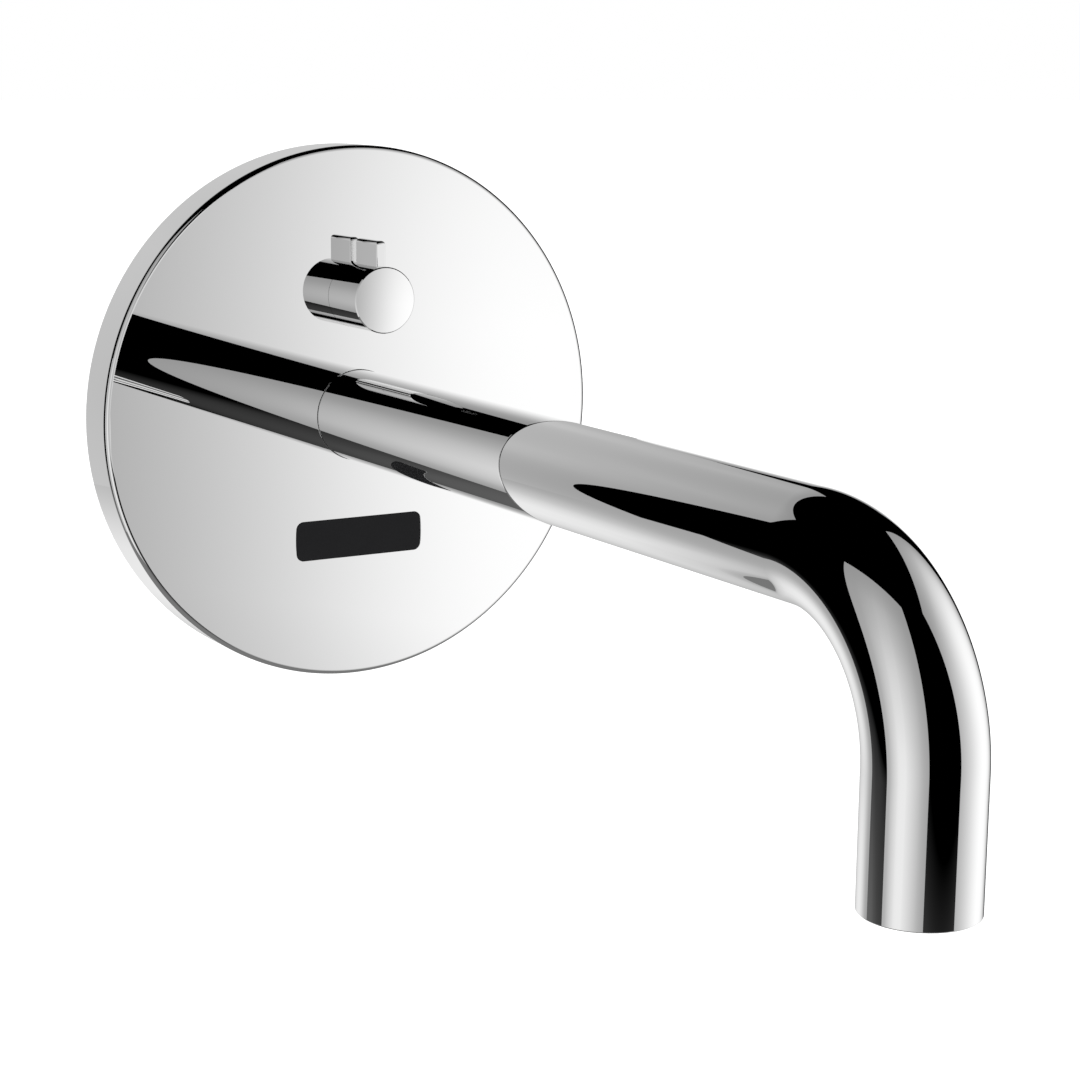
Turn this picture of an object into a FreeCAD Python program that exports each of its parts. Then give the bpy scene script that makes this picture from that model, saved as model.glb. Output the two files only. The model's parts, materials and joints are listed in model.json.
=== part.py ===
import FreeCAD, Part
import math
import os

# Electronic wall basin tap: a round wall plate that carries a long bent spout, a temperature
# knob and a sensor window, with the mixing valve, solenoid, check valves and battery behind it.
# Millimetres. +Z is up, the wall is the plane y = 0 and the tap stands out along -Y, so a smaller
# y is nearer to the user. The origin is the spout's axis where it meets the wall.

V = FreeCAD.Vector
UP = V(0, 0, 1)
INWARD = V(0, 1, 0)
ACROSS = V(1, 0, 0)

# Clearances shared by every fit
press_gap = 0.05        # brazed, screwed and pressed joints, radial
slide_gap = 0.05        # turning and sliding fits, radial
seat_gap = 0.3          # soft rings and trim beside their seats
hole_gap = 0.2          # screw shank in a plain hole, radial

# Wall plate
plate_d = 165.0
plate_depth = 16.4
plate_wall = 2.0
plate_chamfer_radial = 1.15
plate_chamfer_axial = 1.4
plate_wall_gap = 0.3    # rear edge of the plate to the wall
plate_hole_gap = 0.2    # spout in its hole, radial

# Spout tube
spout_d = 28.0
spout_wall = 1.5
spout_reach = 290.0     # wall to the middle of the outlet
spout_drop = 74.0       # spout axis to the outlet's rim
spout_bend = 42.0       # bend radius of the tube's centre line, 1.5 times its diameter
spout_end_behind_plate = 6.4

# Nipple that joins the spout to the valve body
nipple_plug_length = 16.0
nipple_flange_d = 31.0
nipple_flange_thick = 2.0
nipple_stem_d = 20.0
nipple_stem_length = 24.0
nipple_bore_d = 12.0
ring_groove_width = 2.4
ring_section = 1.8
ring_groove_at = (11.0, 17.0)   # from the flange's back face
ring_seat_gap = 0.1
lock_groove_at = 5.0
lock_groove_width = 4.4
lock_groove_depth = 1.2
lock_screw_d = 4.0

# Outlet
bush_length = 20.0
bush_bore_d = 23.0
bush_shoulder_d = 19.0
bush_shoulder_length = 2.0
aerator_recess = 0.7
aerator_skirt_bore_d = 18.0
aerator_body_bore_d = 17.0
aerator_lip = 1.2
aerator_lip_bore_d = 15.6
aerator_key_count = 8
aerator_key_width = 2.4
aerator_key_depth = 1.4
outlet_seal_thick = 2.0
screen_thick = 1.5
screen_cell = 2.1         # across the flats of one cell
screen_pitch = 2.7
screen_rings = 2
hexagon_half = 30.0         # turns a hexagon from corner first to flat first
regulator_thick = 3.0
regulator_above_screen = 6.0
regulator_notch_count = 8
regulator_notch = 1.8
regulator_notch_depth = 2.6

# Temperature knob
knob_z = 37.0
knob_d = 20.0
knob_length = 18.55
knob_seam = 0.4
knob_edge = 0.3         # chamfer round the knob's face
knob_crown = 0.5        # the face's middle stands out this far beyond its rim
knob_bore_d = 15.1
knob_front_wall = 5.0
tab_width = 3.0
tab_length = 13.9
tab_from_front = 3.15
tab_height = 7.6
tab_seat_depth = 1.3
hub_d = 15.0
hub_front_wall = 1.0
hub_flange_d = 17.0
hub_flange_thick = 1.6
hub_finger_reach = 11.6
hub_finger_angle = 12.0
knob_screw_d = 3.0
knob_screw_from_front = 10.0
knob_screw_sunk = 0.4
plate_knob_hole_d = 16.4
hub_behind_plate = 0.6
knob_turn_angle = 60.0
stop_play_angle = 1.5

# Stop ring and gland nut of the mixing cartridge
stop_ring_d = 24.0
stop_ring_bore_d = 16.2
stop_ring_thick = 1.4
stop_lug_height = 1.9
stop_lug_angle = 24.0
finger_gap = 0.3
gland_nose_d = 16.0
gland_nose_length = 1.2
gland_hex_across = 29.0
gland_hex_thick = 3.5
gland_thread_length = 3.0
gland_bore_d = 10.0

# Mixing cartridge
cartridge_d = 27.0
cartridge_length = 19.0
cartridge_front_wall = 3.0
cartridge_bore_d = 20.2
cartridge_seal_thick = 1.0
cartridge_port_d = 6.0
cartridge_port_at = 9.5     # from the cartridge's front face
pocket_gap = 0.1
spindle_d = 8.0
spindle_in_rotor = 3.0
spindle_tenon_d = 6.0
rotor_wall = 2.0
rotor_front_wall = 3.0
rotor_back_gap = 0.5
rotor_window_angle = 180.0
rotor_window_length = 7.0
mixed_chamber_d = 16.0
mixed_chamber_depth = 10.0
casting_wall = 3.0
casting_chamfer = 2.0   # broken back edges of the cast sockets and towers

# Hot and cold towers with their strainers and check valves
tower_x = 32.0
tower_below_knob = 3.0
tower_d = 25.0
tower_bore_d = 18.0
tower_front_to_port = 11.5
plug_flange_d = 22.0
plug_flange_thick = 2.6
plug_shank_length = 6.0
plug_key_across = 8.0
plug_key_depth = 5.0
plug_seal_thick = 1.0
cage_behind_port = 3.5
cage_length = 17.0
cage_seat_wall = 5.0
cage_guide_wall = 2.0
cage_bore_d = 14.8
cage_seat_bore_d = 9.6
cage_guide_hole_d = 3.2
cage_slot_at = 4.4          # middle of each flow slot beside the guide
cage_slot_width = 2.4
cage_slot_length = 5.6
poppet_head_d = 12.4
poppet_head_thick = 2.5
poppet_tip_d = 7.6
poppet_tip_length = 2.0
poppet_stem_d = 3.1
poppet_past_guide = 0.6
check_spring_d = 6.4
check_spring_wire = 0.6
check_spring_turns = 3
strainer_rim_thick = 2.0
strainer_basket_d = 15.6
strainer_wall = 0.5
strainer_past_leg = 3.0
strainer_window = 8.0
tower_bore_spare = 1.0

# Inlet legs, half inch parallel thread at their feet
leg_d = 24.0
leg_bore_d = 15.0
leg_foot_z = -60.0
inlet_boss_d = 28.0
inlet_boss_length = 18.0
inlet_collar_length = 3.0   # round collar above the spanner flats
inlet_hex_across = 25.0
inlet_thread_d = 18.64
inlet_thread_length = 15.0

# Spout socket
socket_d = 32.0
socket_passage_d = 14.0
socket_passage_length = 7.0
socket_bore_spare = 1.0

# Galleries cast between the sockets
gallery_d = 15.0
gallery_bore_d = 8.0
outlet_gallery_bore_d = 7.0
port_gallery_d = 10.0
port_gallery_bore_d = 6.0

# Solenoid valve
solenoid_x = 38.0
solenoid_z = -2.0
solenoid_plate_gap = 1.5
solenoid_d = 32.0
guide_tube_d = 10.4
guide_tube_cap = 0.9
coil_d = 19.6
coil_length = 9.8
coil_clip_d = 16.0
coil_clip_thick = 0.8
coil_terminal_width = 8.0
coil_terminal_height = 5.0
coil_terminal_reach = 4.2   # beyond the coil
coil_terminal_root = 2.1    # inside the coil's edge
cover_thick = 6.0
plunger_d = 8.1
plunger_length = 8.2
plunger_nib_d = 3.0
plunger_nib_length = 0.5
plunger_gap = 0.3
plunger_spring_d = 5.2
plunger_spring_wire = 0.5
plunger_spring_turns = 3
diaphragm_d = 20.6
diaphragm_bead_width = 1.8
diaphragm_bead_thick = 3.0
diaphragm_web_thick = 1.2
diaphragm_pad_d = 13.0
diaphragm_pad_thick = 2.4
diaphragm_behind_cover = 1.0
chamber_d = 21.0
chamber_depth = 4.0
annulus_inner_d = 12.0
annulus_depth = 13.0
nozzle_bore_d = 8.0
nozzle_below_pad = 0.4
outlet_gallery_behind = 8.0
cover_screw_circle_d = 26.6
cover_screw_angle = 45.0

# Fasteners
m3_d = 3.0
m3_head_across = 5.0
m3_head_height = 1.8
m4_d = 4.0
m4_head_across = 7.0
m4_head_height = 2.6
m4_length = 8.0
cover_screw_grip = 5.0     # length of a cover screw in the casting
screw_hole_spare = 1.0
screw_short_of_wall = 0.5
slot_width = 0.9
slot_depth = 0.9

# Mounting carrier
carrier_thick = 3.0
carrier_ring_height = 5.0
carrier_ring_width = 2.5
seal_width = 3.2
seal_height = 5.0
wall_hole_d = 5.5
wall_hole_inset = 16.5      # wall hole circle inside the plate's edge
wall_hole_count = 4
wall_hole_start = 20.0
carrier_hole_gap = 1.0      # carrier opening round each socket, radial
lug_d = 12.0
lug_thick = 6.0
lug_arm_width = 8.0
upper_lug = (50.0, 30.0)
lower_lug = (15.0, -22.0)

# Spring clips that hold the plate on the carrier
clip_count = 3
clip_width = 12.0
clip_thick = 0.8
clip_foot_length = 10.5
clip_arm_reach = 4.4
clip_hump_depth = 2.0
clip_tail_depth = 2.2
clip_tail_in = 1.4
clip_screw_inset = 7.6

# Sensor
window_z = -38.4
window_width = 43.2
window_height = 12.1
window_corner = 2.0
window_gap = 0.05
window_flange_lip = 2.4     # flange beyond the window, all round
window_flange_thick = 1.0
gasket_thick = 0.5
sensor_box_lip = 1.0        # light-tight box beyond the flange, all round
sensor_box_wall = 1.6
sensor_box_floor = 1.5
sensor_post_height = 2.0
sensor_post = 3.0
sensor_post_inset = 3.0
board_thick = 1.2
board_gap = 0.3
led_spacing = 24.0
led_d = 5.0
led_flange_d = 5.8
led_nose_share = 0.5
led_flange_thick = 1.0
led_window_gap = 0.5
barrier_thick = 1.6
ear_d = 7.0
ear_thick = 2.5
ear_wall_gap = 0.4      # screw head beside the wall that its ear stands on
sensor_ear_x = 16.0

# Battery
battery_x = -35.5
battery_z = -3.0
battery_width = 19.5
battery_height = 36.0
battery_length = 35.0
battery_corner = 3.0
battery_gap = 0.3
tray_wall = 1.8
tray_flange = 2.0
tray_flange_thick = 1.5
lid_thick = 1.6
lid_plate_gap = 1.1
lid_grip_width = 12.0
lid_grip_thick = 1.2
lid_grip_height = 0.55
contact_width = 8.0
contact_height = 6.0
contact_thick = 0.6
contact_spacing = 18.0
tray_leg_gap = 1.5

# Control module
module_height = 26.0
module_depth = 9.0
module_above_rim = 35.5     # its bottom above the lowest point of the plate
module_corner = 2.0
module_ring_gap = 2.0
module_sensor_gap = 1.8
module_ear_rise = 3.25      # side ear above the module's middle
header_width = 7.0
header_height = 4.0
header_depth = 5.0
header_wall = 1.0
header_spacing = 8.0

# Stations and sizes that several sub-parts share
plate_front = -plate_depth
plate_back = plate_front + plate_wall
plate_inner_r = plate_d / 2 - plate_wall
carrier_front = -carrier_thick
carrier_ring_front = carrier_front - carrier_ring_height
carrier_r = plate_inner_r - seal_width - 2 * seat_gap
carrier_ring_inner_r = carrier_r - carrier_ring_width
window_flange_width = window_width + 2 * window_flange_lip
window_flange_height = window_height + 2 * window_flange_lip
sensor_box_width = window_flange_width + 2 * sensor_box_lip
sensor_box_height = window_flange_height + 2 * sensor_box_lip
tower_z = knob_z - tower_below_knob
knob_back = plate_front - knob_seam
knob_front = knob_back - knob_length
hub_flange_front = plate_back + hub_behind_plate
hub_flange_back = hub_flange_front + hub_flange_thick
stop_ring_front = hub_flange_back + finger_gap
stop_ring_back = stop_ring_front + stop_ring_thick
gland_back = stop_ring_back + gland_hex_thick
cartridge_front = gland_back + gland_thread_length
cartridge_back = cartridge_front + cartridge_length
pocket_floor = cartridge_back + cartridge_seal_thick
chamber_back = pocket_floor + mixed_chamber_depth
port_y = cartridge_front + cartridge_port_at
tower_front = port_y - tower_front_to_port
cage_front = port_y + cage_behind_port
cage_back = cage_front + cage_length
lid_front = plate_back + lid_plate_gap
tray_mouth = lid_front + lid_thick
tray_floor = tray_mouth + battery_gap + battery_length + contact_thick
tray_back = tray_floor + tray_wall
leg_y = tray_back + tray_leg_gap + leg_d / 2
strainer_back = leg_y + strainer_past_leg
tower_bore_end = strainer_back + tower_bore_spare
tower_back = leg_y + leg_d / 2 + casting_wall / 2
spout_r = spout_d / 2
spout_bore_r = spout_r - spout_wall
spout_start = plate_back + spout_end_behind_plate
flange_back = spout_start + nipple_flange_thick
socket_bore_end = flange_back + nipple_stem_length + socket_bore_spare
socket_back = socket_bore_end + socket_passage_length + casting_wall
guide_front = plate_back + solenoid_plate_gap
guide_inner_front = guide_front + guide_tube_cap
coil_front = guide_front + guide_tube_cap + press_gap
coil_back = coil_front + coil_length
cover_back = coil_back + cover_thick
diaphragm_front = cover_back + diaphragm_behind_cover
plunger_back = diaphragm_front - plunger_gap
plunger_front = plunger_back - plunger_nib_length - plunger_length
annulus_back = cover_back + chamber_depth + annulus_depth
outlet_gallery_y = annulus_back + outlet_gallery_behind
solenoid_back = outlet_gallery_y + gallery_d / 2


def rod(x, z, diameter, front, back):
    """Round bar along Y between two stations."""
    return Part.makeCylinder(diameter / 2, back - front, V(x, front, z), INWARD)


def cast_rod(x, z, diameter, front, back):
    """Round bar along Y whose back edge is chamfered."""
    bar = rod(x, z, diameter, front, back)
    rim = [edge for edge in bar.Edges if edge.BoundBox.YMin > back - casting_chamfer]
    return bar.makeChamfer(casting_chamfer, rim)


def ring(x, z, outer, inner, front, back):
    """Flat ring or sleeve about a Y axis, from its two diameters."""
    return rod(x, z, outer, front, back).cut(rod(x, z, inner, front, back))


def turned(x, z, profile):
    """Solid turned about the Y line through (x, z), from (diameter, y) points."""
    points = [V(x + diameter / 2, y, z) for diameter, y in profile]
    face = Part.Face(Part.makePolygon(points + points[:1]))
    return face.revolve(V(x, 0, z), INWARD, 360)


def turned_down(y, profile):
    """Solid turned about the outlet's vertical axis, from (diameter, z) points."""
    points = [V(diameter / 2, y, z) for diameter, z in profile]
    face = Part.Face(Part.makePolygon(points + points[:1]))
    return face.revolve(V(0, y, 0), UP, 360)


def upright(x, y, diameter, bottom, top):
    """Round bar along Z."""
    return Part.makeCylinder(diameter / 2, top - bottom, V(x, y, bottom), UP)


def bar_between(start, end, diameter):
    """Round bar from one point to another."""
    span = end.sub(start)
    return Part.makeCylinder(diameter / 2, span.Length, start, span)


def slab(x, z, width, height, front, back, corner=0.0):
    """Rectangular block seen from the front, with its four long edges rounded."""
    block = Part.makeBox(width, back - front, height, V(x - width / 2, front, z - height / 2))
    if corner:
        long_edges = [edge for edge in block.Edges if abs(edge.tangentAt(0).y) > 0.9]
        block = block.makeFillet(corner, long_edges)
    return block


def fused(shapes):
    """One solid from touching or crossing pieces, with the split faces merged."""
    return shapes[0].multiFuse(shapes[1:]).removeSplitter()


def turned_copies(shape, count, start=0.0):
    """Copies set evenly round the origin's Y axis, the first at a start angle from +X to +Z."""
    copies = []
    for index in range(count):
        copy = shape.copy()
        copy.rotate(V(0, 0, 0), INWARD, -(start + index * 360.0 / count))
        copies.append(copy)
    return copies


def polar(radius, angle):
    """X and Z of a point at an angle from +X towards +Z."""
    return radius * math.cos(math.radians(angle)), radius * math.sin(math.radians(angle))


def sector(x, z, inner, outer, middle, sweep, front, back):
    """Part of a ring, about a middle angle from +X towards +Z."""
    blank = ring(x, z, outer, inner, front, back)
    reach = outer
    corners = [V(x, front, z)]
    for share in (-0.5, -0.25, 0.0, 0.25, 0.5):
        dx, dz = polar(reach, middle + share * sweep)
        corners.append(V(x + dx, front, z + dz))
    wedge = Part.Face(Part.makePolygon(corners + corners[:1])).extrude(V(0, back - front, 0))
    return blank.common(wedge)


def hexagon(x, z, across, front, back, first=0.0):
    """Six-sided bar along Y, its first corner at an angle from +X towards +Z."""
    corner_r = across / 2 / math.cos(math.radians(hexagon_half))
    corners = []
    for index in range(6):
        dx, dz = polar(corner_r, first + 60 * index)
        corners.append(V(x + dx, front, z + dz))
    return Part.Face(Part.makePolygon(corners + corners[:1])).extrude(V(0, back - front, 0))


def screw(x, z, diameter, head_across, head_height, length, seat):
    """Hexagon head screw driven along +Y, with its head's underside at the seat."""
    head = hexagon(x, z, head_across, seat - head_height, seat)
    return head.fuse(rod(x, z, diameter, seat, seat + length))


def coil_spring(x, z, diameter, wire, turns, front, back):
    """Compression spring along Y, wound from square wire, its ends at the two stations."""
    height = back - front - wire
    middle = (diameter - wire) / 2
    helix = Part.makeHelix(height / turns, height, middle)
    half = wire / 2
    corners = [V(middle + a * half, 0, b * half) for a, b in ((-1, -1), (1, -1), (1, 1), (-1, 1))]
    section = Part.makePolygon(corners + corners[:1])
    spring = Part.Wire(helix.Edges).makePipeShell([section], True, True)
    spring.rotate(V(0, 0, 0), ACROSS, -90)
    spring.translate(V(x, front + half, z))
    return spring


def save(name, shape):
    """One STEP file for each sub-part."""
    if isinstance(shape, list):
        shape = Part.makeCompound(shape)
    if not shape.isValid():
        raise ValueError(name + " is not a valid shape")
    shape.exportStep("parts/" + name + ".step")
    print(name, len(shape.Solids), "solid", round(shape.Volume, 1), "mm3")


def escutcheon_plate():
    """Deep drawn cup with a chamfered front edge, and its three openings."""
    face_d = plate_d - 2 * plate_chamfer_radial
    inner_d = 2 * plate_inner_r
    cup = turned(0, 0, [
        (0, plate_front),
        (face_d, plate_front),
        (plate_d, plate_front + plate_chamfer_axial),
        (plate_d, -plate_wall_gap),
        (inner_d, -plate_wall_gap),
        (inner_d, plate_back),
        (0, plate_back),
    ])
    spout_hole = rod(0, 0, spout_d + 2 * plate_hole_gap, plate_front, plate_back)
    knob_hole = rod(0, knob_z, plate_knob_hole_d, plate_front, plate_back)
    window_hole = slab(0, window_z, window_width, window_height, plate_front, plate_back, window_corner)
    return cup.cut(spout_hole).cut(knob_hole).cut(window_hole)


def plate_seal():
    """Soft ring between the plate's rim and the carrier, flush with the wall."""
    outer = 2 * (plate_inner_r - seat_gap)
    return ring(0, 0, outer, outer - 2 * seal_width, -seal_height, 0)


def lug_places():
    """The four screws that hold the valve body to the carrier."""
    return [(side * x, z) for x, z in (upper_lug, lower_lug) for side in (-1, 1)]


def module_place():
    """Middle and width of the control module, between the sensor box and the carrier's ring."""
    bottom = module_above_rim - plate_d / 2
    right = math.sqrt((carrier_ring_inner_r - module_ring_gap) ** 2 - bottom ** 2)
    left = sensor_box_width / 2 + module_sensor_gap + header_height
    return (left + right) / 2, bottom + module_height / 2, right - left


def ear_places():
    """Screw ears of the sensor box and of the control module."""
    out = m3_head_across / math.sqrt(3) + ear_wall_gap
    sensor_z = window_z - sensor_box_height / 2 - out
    x, z, width = module_place()
    return (
        [(-sensor_ear_x, sensor_z), (sensor_ear_x, sensor_z)],
        [(x, z - module_height / 2 - out), (x + width / 2 + out, z + module_ear_rise)],
    )


def clip_screw_radius():
    return carrier_ring_inner_r - clip_screw_inset


def mounting_carrier():
    """Dished disc on the wall that every other sub-part is fastened to."""
    disc = rod(0, 0, 2 * carrier_r, carrier_front, 0)
    rim = ring(0, 0, 2 * carrier_r, 2 * carrier_ring_inner_r, carrier_ring_front, carrier_front)
    body = fused([disc, rim])
    corner_d = gland_hex_across / math.cos(math.radians(hexagon_half))
    openings = [
        rod(0, 0, socket_d + 2 * carrier_hole_gap, carrier_front, 0),
        rod(0, knob_z, corner_d + 2 * carrier_hole_gap, carrier_front, 0),
        rod(solenoid_x, solenoid_z, solenoid_d + 2 * carrier_hole_gap, carrier_front, 0),
        slab(battery_x, battery_z, tray_outer()[0] + carrier_hole_gap,
             tray_outer()[1] + carrier_hole_gap, carrier_front, 0),
    ]
    for side in (-1, 1):
        openings.append(rod(side * tower_x, tower_z, tower_d + 2 * carrier_hole_gap, carrier_front, 0))
    wall_x, wall_z = polar(plate_d / 2 - wall_hole_inset, 0)
    wall_hole = rod(wall_x, wall_z, wall_hole_d, carrier_front, 0)
    openings += turned_copies(wall_hole, wall_hole_count, wall_hole_start)
    clip_hole = rod(clip_screw_radius(), 0, m3_d + 2 * press_gap, carrier_front, 0)
    openings += turned_copies(clip_hole, clip_count)
    for x, z in lug_places():
        openings.append(rod(x, z, m4_d + 2 * hole_gap, carrier_front, 0))
    sensor_ears, module_ears = ear_places()
    for x, z in sensor_ears + module_ears:
        openings.append(rod(x, z, m3_d + 2 * press_gap, carrier_front, 0))
    return body.cut(Part.makeCompound(openings))


def chord_reach(radius, width):
    """How far out a flat strip of a given width can lie inside a circle."""
    return math.sqrt(radius ** 2 - (width / 2) ** 2)


def strip_profile(points, thickness):
    """Closed outline of a bent metal strip from its centre line in (x, y)."""
    sides = ([], [])
    for index, (x, y) in enumerate(points):
        before = points[max(index - 1, 0)]
        after = points[min(index + 1, len(points) - 1)]
        normals = []
        for a, b in ((before, (x, y)), ((x, y), after)):
            length = math.hypot(b[0] - a[0], b[1] - a[1])
            if length:
                normals.append(((a[1] - b[1]) / length, (b[0] - a[0]) / length))
        nx = sum(n[0] for n in normals) / len(normals)
        ny = sum(n[1] for n in normals) / len(normals)
        stretch = thickness / 2 / (nx * nx + ny * ny)
        sides[0].append((x + nx * stretch, y + ny * stretch))
        sides[1].append((x - nx * stretch, y - ny * stretch))
    return sides[0] + sides[1][::-1]


def plate_clips():
    """Bent leaf springs on the carrier whose humps grip the inside of the plate's rim."""
    half = clip_thick / 2
    riser = chord_reach(carrier_ring_inner_r - press_gap, clip_width) - half
    shelf = carrier_ring_front - half
    hump = chord_reach(plate_inner_r - seat_gap, clip_width) - half
    knee = riser + clip_arm_reach
    centre_line = [
        (riser - clip_foot_length, carrier_front - half),
        (riser, carrier_front - half),
        (riser, shelf),
        (knee, shelf),
        (hump, shelf - clip_hump_depth),
        (hump - clip_tail_in, shelf - clip_hump_depth - clip_tail_depth),
    ]
    outline = [V(x, y, -clip_width / 2) for x, y in strip_profile(centre_line, clip_thick)]
    strip = Part.Face(Part.makePolygon(outline + outline[:1])).extrude(V(0, 0, clip_width))
    hole = rod(clip_screw_radius(), 0, m3_d + 2 * hole_gap, carrier_front - clip_thick, carrier_front)
    return turned_copies(strip.cut(hole), clip_count)


def clip_screws():
    seat = carrier_front - clip_thick
    length = clip_thick + carrier_thick - screw_short_of_wall
    one = screw(clip_screw_radius(), 0, m3_d, m3_head_across, m3_head_height, length, seat)
    return turned_copies(one, clip_count)


def spout_tube():
    """One tube: straight from the plate, a quarter bend and a short drop."""
    bend_y = spout_bend - spout_reach
    tubes = []
    for radius in (spout_r, spout_bore_r):
        disc = Part.Face(Part.Wire([Part.makeCircle(radius, V(0, bend_y, 0), INWARD)]))
        straight = disc.extrude(V(0, spout_start - bend_y, 0))
        bend = disc.revolve(V(0, bend_y, -spout_bend), ACROSS, 90)
        drop = Part.makeCylinder(radius, spout_drop - spout_bend, V(0, -spout_reach, -spout_drop), UP)
        tubes.append(fused([straight, bend, drop]))
    outside, bore = tubes
    return outside.cut(bore)


def spout_nipple():
    """Brass connector brazed into the spout, with ring grooves and a locking groove."""
    plug_d = 2 * (spout_bore_r - press_gap)
    stem_end = flange_back + nipple_stem_length
    body = turned(0, 0, [
        (nipple_bore_d, spout_start - nipple_plug_length),
        (plug_d, spout_start - nipple_plug_length),
        (plug_d, spout_start),
        (nipple_flange_d, spout_start),
        (nipple_flange_d, flange_back),
        (nipple_stem_d, flange_back),
        (nipple_stem_d, stem_end),
        (nipple_bore_d, stem_end),
    ])
    cuts = [ring(0, 0, nipple_flange_d, nipple_stem_d - 2 * lock_groove_depth,
                 flange_back + lock_groove_at - lock_groove_width / 2,
                 flange_back + lock_groove_at + lock_groove_width / 2)]
    for place in ring_groove_at:
        start = flange_back + place - ring_groove_width / 2
        cuts.append(ring(0, 0, nipple_flange_d, nipple_stem_d - 2 * ring_section,
                         start, start + ring_groove_width))
    return body.cut(Part.makeCompound(cuts))


def spout_rings():
    """Two square section sealing rings in the nipple's grooves."""
    half = ring_section / 2 - ring_seat_gap / 2
    middle = nipple_stem_d - ring_section
    rings = []
    for place in ring_groove_at:
        station = flange_back + place
        rings.append(ring(0, 0, middle + 2 * half, middle - 2 * half, station - half, station + half))
    return rings


def lock_screw():
    """Headless screw from below that holds the nipple in its socket."""
    y = flange_back + lock_groove_at
    tip = nipple_stem_d / 2 - lock_groove_depth + press_gap
    foot = socket_d / 2 - press_gap
    body = upright(0, y, lock_screw_d, -foot, -tip)
    key = slab(0, -foot, lock_screw_d, 2 * slot_depth, y - slot_width / 2, y + slot_width / 2)
    return body.cut(key)


def outlet_bush():
    """Brass bush in the spout's end with the thread and shoulder for the aerator."""
    outer = 2 * (spout_bore_r - press_gap)
    top = bush_length - spout_drop
    return turned_down(-spout_reach, [
        (bush_bore_d, -spout_drop),
        (outer, -spout_drop),
        (outer, top),
        (bush_shoulder_d, top),
        (bush_shoulder_d, top - bush_shoulder_length),
        (bush_bore_d, top - bush_shoulder_length),
    ])


def outlet_stations():
    """Heights inside the outlet: seal top, aerator top, aerator foot, screen, regulator."""
    seal_top = bush_length - spout_drop - bush_shoulder_length
    body_top = seal_top - outlet_seal_thick
    body_foot = aerator_recess - spout_drop
    screen_foot = body_foot + aerator_lip
    regulator_foot = screen_foot + screen_thick + regulator_above_screen
    return seal_top, body_top, body_foot, screen_foot, regulator_foot


def aerator_seal():
    seal_top, body_top = outlet_stations()[:2]
    outer = bush_bore_d - 2 * seat_gap
    return turned_down(-spout_reach, [
        (bush_shoulder_d, body_top),
        (outer, body_top),
        (outer, seal_top),
        (bush_shoulder_d, seal_top),
    ])


def aerator_housing():
    """Flush aerator body with key notches round its lip."""
    seal_top, top, foot, screen_foot, regulator_foot = outlet_stations()
    outer = bush_bore_d - 2 * press_gap
    body = turned_down(-spout_reach, [
        (aerator_lip_bore_d, foot),
        (outer, foot),
        (outer, top),
        (aerator_skirt_bore_d, top),
        (aerator_skirt_bore_d, regulator_foot),
        (aerator_body_bore_d, regulator_foot),
        (aerator_body_bore_d, screen_foot),
        (aerator_lip_bore_d, screen_foot),
    ])
    notch = Part.makeBox(outer, aerator_key_width, aerator_key_depth,
                         V(aerator_lip_bore_d / 2 + aerator_lip, -aerator_key_width / 2, foot))
    notches = []
    for index in range(aerator_key_count):
        copy = notch.copy()
        copy.rotate(V(0, 0, 0), UP, index * 360.0 / aerator_key_count)
        copy.translate(V(0, -spout_reach, 0))
        notches.append(copy)
    return body.cut(Part.makeCompound(notches))


def aerator_screen():
    """Honeycomb disc that straightens the stream."""
    foot = outlet_stations()[3]
    disc = upright(0, -spout_reach, aerator_body_bore_d - 2 * press_gap, foot, foot + screen_thick)
    holes = []
    for row in range(-screen_rings, screen_rings + 1):
        for column in range(-screen_rings, screen_rings + 1):
            if abs(row + column) > screen_rings:
                continue
            x = screen_pitch * (column + row / 2)
            y = screen_pitch * row * math.sin(math.radians(60))
            cell = hexagon(0, 0, screen_cell, 0, screen_thick, hexagon_half)
            cell.rotate(V(0, 0, 0), ACROSS, 90)
            cell.translate(V(x, y - spout_reach, foot))
            holes.append(cell)
    return disc.cut(Part.makeCompound(holes))


def flow_regulator():
    """Disc above the screen with metering notches round its edge."""
    foot = outlet_stations()[4]
    disc_d = aerator_skirt_bore_d - 2 * press_gap
    disc = upright(0, -spout_reach, disc_d, foot, foot + regulator_thick)
    notches = []
    for index in range(regulator_notch_count):
        notch = Part.makeBox(disc_d, regulator_notch, regulator_thick,
                             V(disc_d / 2 - regulator_notch_depth, -regulator_notch / 2, foot))
        notch.rotate(V(0, 0, 0), UP, index * 360.0 / regulator_notch_count)
        notch.translate(V(0, -spout_reach, 0))
        notches.append(notch)
    return disc.cut(Part.makeCompound(notches))


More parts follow.
